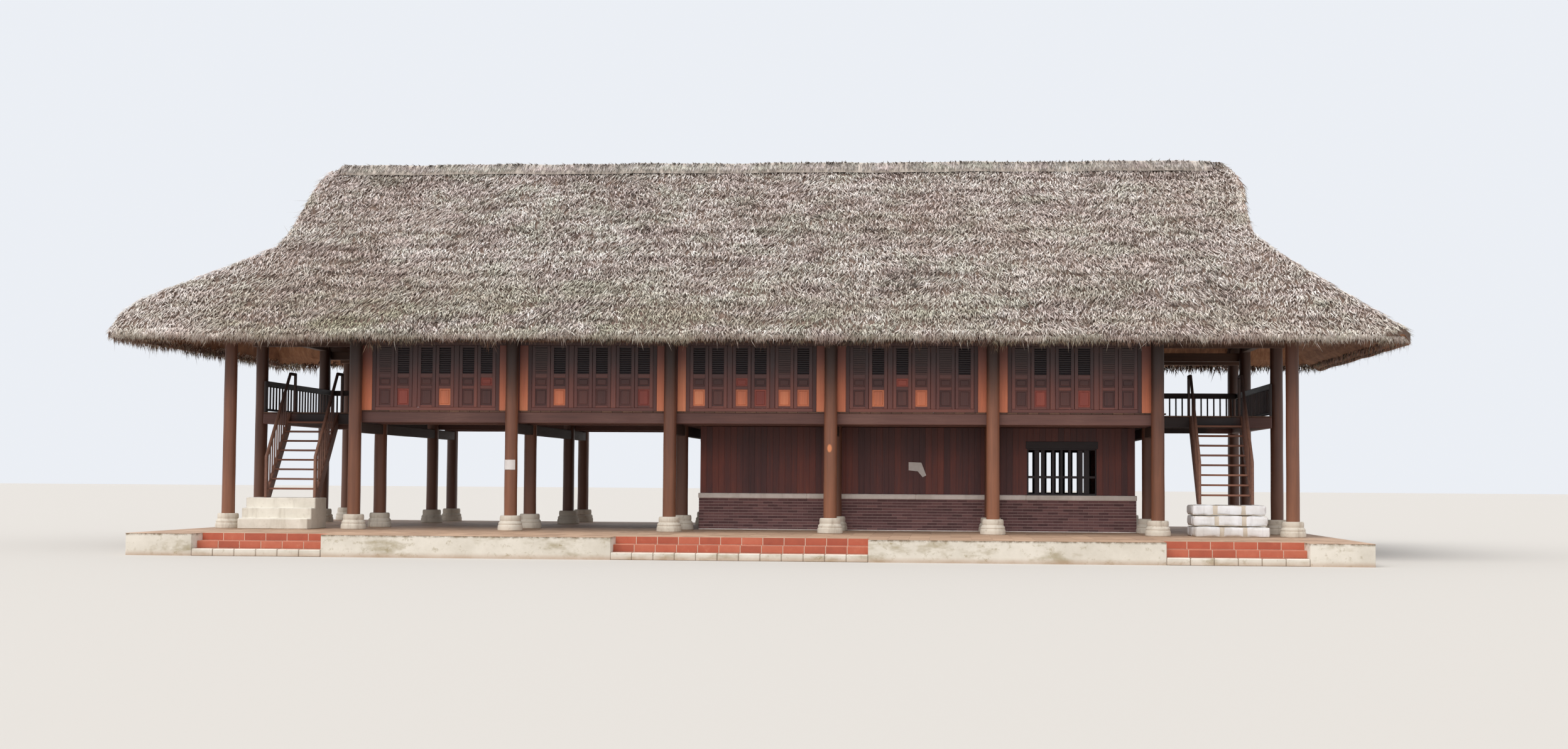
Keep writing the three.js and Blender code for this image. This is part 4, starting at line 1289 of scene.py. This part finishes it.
roofSet = {"bedLift": 0.055, "bedThick": 0.19, "blend": 0.06, "corner": {-1: 0.25, 1: 0.85}, "lump": 0.018,
           "verge": 10.3, "seam": 7.03, "courses": 12, "endCourses": 6, "step": 0.045, "waver": 0.13,
           "eaveThick": 0.05, "eaveTaper": 0.5, "steepest": 3.2}
vergeX = roofSet["verge"]
gables = {  # down each gable: distance from the middle and height
    -1: [(10.2, 8.9), (10.45, 8.8), (10.61, 8.52), (10.65, 8.11)],
    1: [(10.25, 8.9), (10.44, 8.87), (10.64, 8.65), (10.72, 8.3), (10.74, 7.9)]}
hips = {  # down each hip end below its gable
    -1: [(10.67, 7.1), (10.85, 6.68), (12.06, 6.03), (13.19, 5.43), (13.45, 5.12), (13.55, 4.57)],
    1: [(10.76, 7.03), (10.92, 6.8), (11.21, 6.5), (12.17, 5.68), (13.1, 4.9), (13.55, 4.57)]}
waves = np.random.default_rng(5).uniform(0.35, 1.0, (9, 4))[:, :3]


def unit(vectors):
    return vectors / np.linalg.norm(vectors, axis=1)[:, None]


def lumps(x, y):  # a hand-laid roof is never quite flat
    total = np.zeros(np.broadcast(x, y).shape)
    for i, (a, b, c) in enumerate(waves):
        turn = i * 2.4
        size = 0.9 + 3.2 * a
        total = total + b * np.sin(size * (x * math.cos(turn) + y * math.sin(turn)) + 6.3 * c * (i + 1))
    return total / 4.0


def courseDrop(reach, length, count):  # each course lies lower at its upper end, where the next one covers it
    part = np.clip(reach / length, 0, 0.9999) * count
    return np.where(part < count - 1, roofSet["step"] * (part % 1), 0.0)


def courseReach(x, y):  # how far up from its eave a place lies, as the uneven courses run
    return np.minimum(y, 2 * midY - y) - eaveFront + roofSet["waver"] * lumps(x * 1.3 + 4, y * 0.6)


def endHeight(x, laid):
    heights = []
    for sign in (-1, 1):
        away = sign * x
        line = np.array(gables[sign] + hips[sign])
        height = np.interp(away, line[:, 0], line[:, 1], left=9.6)
        if laid:
            slope = np.array(hips[sign])
            reach = np.concatenate([[0], np.cumsum(np.hypot(*np.diff(slope[::-1], axis=0).T))])
            up = np.interp(away, slope[:, 0], reach[::-1])
            height = height - courseDrop(up, reach[-1], roofSet["endCourses"])
        heights.append(height)
    return np.where(x < 0, *heights)


def slopeHeight(y, x=None):
    height = eaveTop + roofSlope * (np.minimum(y, 2 * midY - y) - eaveFront)
    if x is not None:
        height = height - courseDrop(courseReach(x, y), midY - eaveFront, roofSet["courses"])
    return height


def roofHeight(x, y, laid=True):
    a, b = slopeHeight(y, x if laid else None), endHeight(x, laid)
    k = roofSet["blend"]
    near = np.maximum(k - np.abs(a - b), 0) / k
    return np.minimum(a, b) - near * near * k / 4 + lumps(x, y) * roofSet["lump"]


def roofFall(x, y, step=0.02):
    fx = (roofHeight(x + step, y, False) - roofHeight(x - step, y, False)) / (2 * step)
    fy = (roofHeight(x, y + step, False) - roofHeight(x, y - step, False)) / (2 * step)
    return fx, fy


def roundCorner(x, y):  # pulls the plan's square corners in to round ones
    r = np.where(x < 0, roofSet["corner"][-1], roofSet["corner"][1])
    cx = np.sign(x) * (roofHalf - r)
    cy = np.where(y < midY, eaveFront + r, eaveRear - r)
    dx, dy = x - cx, y - cy
    outside = (dx * np.sign(x) > 0) & (dy * np.sign(y - midY) > 0)
    far = np.maximum(np.hypot(dx, dy), 1e-6)
    scale = np.where(outside & (far > r), r / far, 1.0)
    return cx + dx * scale, cy + dy * scale


def makeBed(name, node, xs, ys):  # the matted thickness under the leaves
    shape = bmesh.new()
    bmesh.ops.create_grid(shape, x_segments=len(xs) - 1, y_segments=len(ys) - 1, size=0.5)
    for v in shape.verts:
        x = xs[round((v.co.x + 0.5) * (len(xs) - 1))]
        y = ys[round((v.co.y + 0.5) * (len(ys) - 1))]
        px, py = roundCorner(np.array(x), np.array(y))
        v.co = (float(px), float(py), float(roofHeight(px, py)) - roofSet["bedLift"])
    thin, taper = roofSet["eaveThick"], roofSet["eaveTaper"]
    for v in thicken(shape):  # thin at the long eaves, where only loose leaf hangs, turned down at the ends
        full = min((v.co.y - eaveFront) / taper, (eaveRear - v.co.y) / taper, 1.0)
        v.co.z -= thin + (roofSet["bedThick"] - thin) * full
        if abs(v.co.x) > roofHalf - 0.12:
            v.co.z = min(v.co.z, eaveLow + 0.1)
    outward(shape)
    for face in shape.faces:
        face.material_index = 1 if face.normal.z < -0.1 else 0
    settle(newObject(name, takeMesh(shape, name), [thatchBed, underBed]), "thatch", node)


slopeXs = np.linspace(-vergeX, vergeX, 69)
courseYs = eaveFront + (midY - eaveFront) * np.arange(1, roofSet["courses"]) / roofSet["courses"]
frontYs = [[eaveFront + 0.06, midY], courseYs - 0.012, courseYs + 0.012, courseYs + 0.23]
frontYs = np.sort(np.concatenate(frontYs))
rearYs = 2 * midY - frontYs[::-1]
endYs = np.concatenate([frontYs, rearYs[1:]])
makeBed("front_thatch_bed", "front_thatch", slopeXs, frontYs)
makeBed("rear_thatch_bed", "rear_thatch", slopeXs, rearYs)
for side, sign in (("left", -1), ("right", 1)):
    corners = [p[0] for p in gables[sign] + hips[sign][:-1] if p[0] > vergeX + 0.03]
    even = np.linspace(hips[sign][0][0] + 0.04, roofHalf - 0.06, 22)
    steps = np.unique(np.concatenate([[vergeX], corners, even]))
    makeBed(f"{side}_hip_thatch_bed", f"{side}_hip_thatch", sign * steps, endYs)
print("thatch beds made")


# Leaves of the thatch. Each is a closed sliver: left and right corner, crown and tip.

leafFaces = np.array([[0, 3, 1], [0, 2, 3], [2, 1, 3], [0, 1, 2]])


def layLeaves(name, base, down, normal, size, finishes, seed, lift, yaw, tone=None, paint=None,
              slot="thatch"):
    random = np.random.default_rng(seed)
    count = len(base)
    side = np.cross(down, normal)
    turn = random.normal(0, yaw, count)[:, None]
    along = down * np.cos(turn) + side * np.sin(turn)
    across = np.cross(along, normal)
    rise = random.normal(lift, lift * 0.8, count)[:, None]
    length = size[0] * random.uniform(0.6, 1.35, count)
    width = size[1] * random.uniform(0.6, 1.4, count)
    tip = base + (along + normal * rise) * length[:, None]
    crown = base + normal * (width * 0.32)[:, None]
    left = base - across * (width / 2)[:, None]
    right = base + across * (width / 2)[:, None]
    points = np.stack([left, right, crown, tip], axis=1)
    over = np.maximum(points.max(axis=1) - np.array(cadBounds[1]) + 0.001, 0)
    under = np.minimum(points.min(axis=1) - np.array(cadBounds[0]) - 0.001, 0)
    points = points - (over + under)[:, None, :]
    order = (np.arange(count) * 4)[:, None, None] + leafFaces[None]
    mesh = bpy.data.meshes.new(name)
    mesh.vertices.add(count * 4)
    mesh.vertices.foreach_set("co", points.astype(np.float32).ravel())
    mesh.loops.add(count * 12)
    mesh.loops.foreach_set("vertex_index", order.astype(np.int32).ravel())
    mesh.polygons.add(count * 4)
    mesh.polygons.foreach_set("loop_start", np.arange(0, count * 12, 3, dtype=np.int32))
    mesh.update(calc_edges=True)
    setPoints(mesh, "tone", np.repeat(random.random(count) if tone is None else tone, 4))
    setPoints(mesh, "tip", np.tile([0.0, 0.0, 0.0, 1.0], count))
    if paint is not None:
        mesh.polygons.foreach_set("material_index", np.repeat(paint, 4).astype(np.int32))
    settle(newObject(name, mesh, finishes), slot)


def bothSides(random, count):
    return random.choice([-1.0, 1.0], count)


def shades(random, middle, spread, count):
    return np.clip(random.normal(middle, spread, count), 0, 1)


def roofSpots(random, count, spanX, spanY):  # even scatter over the real slope of a part of the roof
    spots = np.zeros((0, 2))
    while len(spots) < count:
        x = random.uniform(*spanX, count * 2)
        y = random.uniform(*spanY, count * 2)
        fx, fy = roofFall(x, y)
        steep = np.sqrt(1 + fx ** 2 + fy ** 2)
        px, py = roundCorner(x, y)
        inside = (np.abs(px - x) < 1e-6) & (np.abs(py - y) < 1e-6)
        keep = inside & (random.random(len(x)) < np.minimum(steep, roofSet["steepest"]) / roofSet["steepest"])
        spots = np.concatenate([spots, np.stack([x[keep], y[keep]], axis=1)])
    return spots[:count, 0], spots[:count, 1]


def thatchOver(name, count, spanX, spanY, seed, size, finish=thatchLeaf, lift=0.09, yaw=0.3):
    random = np.random.default_rng(seed)
    x, y = roofSpots(random, count, spanX, spanY)
    fx, fy = roofFall(x, y)
    steep = np.sqrt(fx ** 2 + fy ** 2)
    down = unit(np.stack([-fx / steep, -fy / steep, -steep], axis=1))
    normal = unit(np.stack([-fx, -fy, np.ones(len(x))], axis=1))
    swirl = 0.3 * lumps(y * 1.6 + 3, x * 0.8)[:, None]
    down = unit(down + np.cross(down, normal) * swirl)
    depth = random.uniform(-0.06, -0.008, len(x))
    height = roofHeight(x, y) * 0.6 + roofHeight(x, y, False) * 0.4
    base = np.stack([x, y, height], axis=1) + normal * depth[:, None]
    part = (courseReach(x, y) / (midY - eaveFront) * roofSet["courses"] + random.normal(0, 0.06, len(x))) % 1
    # painted shade: leaves under the lower edge of the next course are darker, in broken bands
    courseShade = np.clip((part - 0.7) / 0.2, 0, 1) * np.clip(lumps(x * 2.1, y * 0.7 + 9) + 0.5, 0, 1)
    gapShade = np.clip((lumps(x * 7.3 + 1, y * 9.1) - 0.62) / 0.25, 0, 1)  # painted shade: small dark spots that stand for gaps between the leaves
    # painted shade: leaves set deeper into the bed are darker too
    tone = random.normal(0.5, 0.24, len(x)) + (depth + 0.034) * 5 - courseShade * 0.16 - gapShade * 0.55
    layLeaves(name, base, down, normal, size, [finish], seed + 1, lift, yaw, np.clip(tone, 0, 1))


leafSet = {"size": (0.21, 0.029), "rearSize": (0.29, 0.045), "straySize": (0.42, 0.013), "edge": 0.02}
frontSpan = (eaveFront + leafSet["edge"], midY)
wholeSpan = (eaveFront + leafSet["edge"], eaveRear - leafSet["edge"])
endReach = roofHalf - leafSet["edge"]
for seed, (name, count, spanX, spanY, size) in enumerate((
        ("front_thatch_leaves_left", 42500, (-vergeX, 0), frontSpan, "size"),
        ("front_thatch_leaves_right", 42500, (0, vergeX), frontSpan, "size"),
        ("rear_thatch_leaves", 25000, (-vergeX, vergeX), (midY + 0.15, wholeSpan[1]), "rearSize"),
        ("left_hip_thatch_leaves", 20500, (-endReach, -vergeX), wholeSpan, "size"),
        ("right_hip_thatch_leaves", 20500, (vergeX, endReach), wholeSpan, "size")), 601):
    thatchOver(name, count, spanX, spanY, seed, leafSet[size])
thatchOver("thatch_strays", 700, (-roofHalf + 0.3, roofHalf - 0.3), (eaveFront + 0.3, eaveRear - 0.3), 606,
           leafSet["straySize"], ridgeLeaf, 0.16, 0.9)
print("thatch laid")


# Fringe of the eaves.

def eaveOutline(inset):  # the eaves' outline in plan
    x1, y0, y1 = roofHalf - inset, eaveFront + inset, eaveRear - inset
    parts = []
    for sx, sy, start in ((1, -1, -90), (1, 1, 0), (-1, 1, 90), (-1, -1, 180)):
        r = roofSet["corner"][sx] - min(inset, 0.2)
        centre = (sx * (x1 - r), y1 - r if sy > 0 else y0 + r)
        for turn in np.linspace(0, 90, 7):
            angle = math.radians(start + turn)
            parts.append((centre[0] + r * math.cos(angle), centre[1] + r * math.sin(angle)))
    return np.array(parts)


def eaveSpots(random, count, inset):
    outline = eaveOutline(inset)
    nextPoint = np.roll(outline, -1, axis=0)
    lengths = np.linalg.norm(nextPoint - outline, axis=1)
    inFront = (outline + nextPoint)[:, 1] / 2 < eaveFront + 1
    lengths = lengths * np.where(inFront, 1.5, 0.8)  # more leaf in front
    pick = random.choice(len(outline), count, p=lengths / lengths.sum())
    along = random.random(count)[:, None]
    spots = outline[pick] * (1 - along) + nextPoint[pick] * along
    way = unit((nextPoint - outline)[pick])
    return spots, np.stack([way[:, 1], -way[:, 0]], axis=1)


def eaveFringe(name, count, inset, z0, z1, length, width, lean, lift, ragged, seed, finish):
    random = np.random.default_rng(seed)
    spots, out = eaveSpots(random, count, inset)
    wave = lumps(spots[:, 0] * 0.9, spots[:, 1] * 0.9)
    z = eaveLow + random.uniform(z0, z1, count) + wave * 0.035
    length = length * (1 + ragged * np.clip(lumps(spots[:, 0] * 2.7 + 5, spots[:, 1] * 2.7) - 0.2, 0, 1))
    normal = unit(np.column_stack([out, np.full(count, 0.15)]))
    down = unit(np.column_stack([out * lean, np.full(count, -1.0)]))
    layLeaves(name, np.column_stack([spots, z]), down, normal, (length, width), [finish], seed + 1, lift, 0.3,
              shades(random, 0.54, 0.32, count))


fringes = {  # count, inset, root from and to above the eave, length, width, lean, lift, raggedness, seed
    "eave_fringe": ((7500, 0.045, 0.14, thatchDrop - 0.02, 0.12, 0.028, 0.1, 0.08, 0.4, 611), thatchLeaf),
    "eave_top_fringe": ((8000, 0.12, thatchDrop - 0.05, thatchDrop + 0.06, 0.2, 0.028, 0.7, 0.05, 0.3, 615),
                        thatchLeaf),
    "eave_under_fringe": ((6500, 0.13, 0.05, 0.17, 0.12, 0.026, -0.1, 0.05, 1.0, 612), shadedLeaf),
    "eave_inner_fringe": ((3600, 0.3, 0.1, 0.2, 0.15, 0.03, -0.2, 0.05, 2.0, 614), shadedLeaf),
    "eave_strays": ((160, 0.06, 0.02, 0.12, 0.2, 0.014, 0.0, 0.05, 0.0, 613), ridgeLeaf)}
for name, (settings, finish) in fringes.items():
    eaveFringe(name, *settings, finish)
print("eaves fringed")


# Ridge: a smoother, paler cap of folded leaf.

capLow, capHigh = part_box("ridge_cap")
capSet = {"count": 6500, "size": (0.28, 0.03), "half": 0.29, "thick": 0.05, "reach": 0.72}


def capCrest(off, x):  # the rounded ridge, off is 0 on the crest and 1 at the cap's lower edge
    crest = capHigh.z - 0.012 - roofSlope * capSet["half"] * (np.sqrt(off * off + 0.02) - 0.14)
    return crest + 0.008 * np.sin(1.7 * x) + 0.006 * np.sin(4.1 * x + 1)


def makeRidge():
    cap = bmesh.new()
    bmesh.ops.create_grid(cap, x_segments=80, y_segments=8, size=0.5)
    half = capSet["half"]
    for v in cap.verts:
        x = capLow.x + (v.co.x + 0.5) * (capHigh.x - capLow.x)
        off = v.co.y * 2
        v.co = (x, midY + off * half, float(capCrest(abs(off), x)) - 0.01 - 0.03 * off ** 6)
    bmesh.ops.translate(cap, verts=thicken(cap), vec=(0, 0, -capSet["thick"]))
    outward(cap)
    mesh = takeMesh(cap, "ridge_cap_bed")
    easeShade(mesh, 50)
    settle(newObject("ridge_cap_bed", mesh, [capBed]), "ridge_thatch", "ridge_cap")
    random = np.random.default_rng(621)
    count = capSet["count"]
    side = bothSides(random, count)
    off = random.uniform(0.0, capSet["reach"], count)
    x = random.uniform(capLow.x - 0.05, capHigh.x + 0.05, count)
    base = np.column_stack([x, midY + side * off * half, capCrest(off, x) - 0.012])
    flat = np.minimum(off / 0.3, 1)
    down = unit(np.column_stack([np.zeros(count), side, -roofSlope * flat]))
    normal = unit(np.column_stack([np.zeros(count), side * roofSlope * flat, np.ones(count)]))
    layLeaves("ridge_cap_leaves", base, down, normal, capSet["size"], [ridgeLeaf], 622, 0.02, 0.09,
              shades(random, 0.55, 0.2, count), slot="ridge_thatch")


makeRidge()
print("ridge made")


# Gable faces and verges: hanging leaf between the hip and the ridge, with a brown cut edge in painted shade.

gableSet = {"count": 3000, "size": (0.3, 0.045), "verge": 4200, "tufts": 600, "tuftAt": {-1: 10.2, 1: 10.38},
            "vergeSize": (0.16, 0.03)}
shagEdges = {  # where the ragged edges of the roof really end, by height
    -1: ([7.0, 7.5, 8.1, 8.5, 8.8, 8.95], [10.7, 10.66, 10.63, 10.59, 10.44, 10.12]),
    1: ([7.0, 7.45, 7.9, 8.3, 8.65, 8.86], [10.77, 10.7, 10.77, 10.81, 10.68, 10.44])}


def edgeAt(sign, z):
    return np.where(sign < 0, np.interp(z, *shagEdges[-1]), np.interp(z, *shagEdges[1]))


def makeGableFaces(random):
    tries = gableSet["count"] * 3
    z = random.uniform(roofSet["seam"] - 0.1, ridgeTop - 0.2, tries)
    y = random.uniform(midY - 2.5, midY + 2.5, tries)
    inside = z < slopeHeight(y) - 0.1
    z, y = z[inside][:gableSet["count"]], y[inside][:gableSet["count"]]
    count = len(z)
    sign = bothSides(random, count)
    none = np.zeros(count)
    base = np.column_stack([sign * (edgeAt(sign, z) - random.uniform(0.03, 0.08, count)), y, z])
    down = np.column_stack([none, none, none - 1])
    normal = np.column_stack([sign, none, none])
    layLeaves("gable_leaves", base, down, normal, gableSet["size"], [thatchLeaf], 632, 0.04, 0.25,
              shades(random, 0.42, 0.22, count))


def makeVerges(random):
    count = gableSet["verge"]
    sign, side = bothSides(random, count), bothSides(random, count)
    z = random.uniform(roofSet["seam"], ridgeTop - 0.02, count)
    y = midY + side * (ridgeTop - z) / roofSlope
    inward = random.uniform(0.02, 0.2, count)
    base = np.column_stack([sign * (edgeAt(sign, z) - inward), y, z - random.uniform(0.0, 0.16, count)])
    down = unit(np.column_stack([sign * random.uniform(0.1, 0.75, count), side * 0.5, np.full(count, -1.0)]))
    normal = unit(np.column_stack([sign * 0.7, side * roofSlope, np.full(count, 0.7)]))
    # painted shade: brown leaves along the cut edge stand for the shade on its thickness
    brown = (inward < 0.09) & (random.random(count) < 0.6)
    layLeaves("verge_leaves", base, down, normal, gableSet["vergeSize"], [thatchLeaf, brownLeaf], 634, 0.05,
              0.45, shades(random, 0.45, 0.25, count), brown)


def makeRidgeTufts(random):
    count = gableSet["tufts"]
    sign = bothSides(random, count)
    across = random.normal(0, 0.16, count)
    along = random.uniform(-0.3, 0.12, count)
    x = sign * (np.where(sign < 0, gableSet["tuftAt"][-1], gableSet["tuftAt"][1]) + along)
    z = capHigh.z - 0.06 - np.abs(across) * roofSlope - np.maximum(along, 0) * 0.9
    lean = sign * random.uniform(0.0, 0.8, count)
    down = unit(np.column_stack([lean, np.sign(across), np.full(count, -0.7)]))
    normal = unit(np.column_stack([sign * 0.3, across * 2, np.ones(count)]))
    layLeaves("ridge_end_tufts", np.column_stack([x, midY + across, z]), down, normal, gableSet["vergeSize"],
              [thatchLeaf, brownLeaf], 636, 0.15, 0.6, None, random.random(count) < 0.3)


gableRandom = np.random.default_rng(631)
makeGableFaces(gableRandom)
makeVerges(gableRandom)
makeRidgeTufts(gableRandom)
print("gables made")


# Under the thatch: pole rafters and laths.

poleSet = {"pitch": 0.85, "pole": 0.07, "chamfer": 0.015, "drop": 0.045, "clear": 0.12, "start": 0.4,
           "lathPitch": 0.3, "lath": (0.04, 0.02), "lathInset": 3.0}


def makeRoofPoles(name, sign, seed):
    poles = Blocks(seed)
    start, end = eaveFront + poleSet["start"], midY - 0.05
    x = -vergeX + 0.3
    while x < vergeX:
        if min(abs(x - px) for px in postX) > poleSet["clear"]:
            low, high = [(x, midY + sign * (midY - y), float(slopeHeight(y)) - thatchDrop - poleSet["drop"])
                         for y in (start, end)]
            poles.bar(low, high, poleSet["pole"], poleSet["chamfer"])
        x += poleSet["pitch"]
    wide, thick = [size / 2 for size in poleSet["lath"]]
    reach = roofHalf - poleSet["lathInset"]
    for y in np.arange(start, midY - 0.1, poleSet["lathPitch"]):
        at, z = midY + sign * (midY - y), float(slopeHeight(y)) - thatchDrop
        poles.fill((-reach, reach), (at - wide, at + wide), (z - thick, z + thick))
    poles.build(name, [poleWood], "beam_wood")


makeRoofPoles("front_roof_poles", -1, 641)
makeRoofPoles("rear_roof_poles", 1, 642)
print("roof poles made")


low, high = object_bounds()
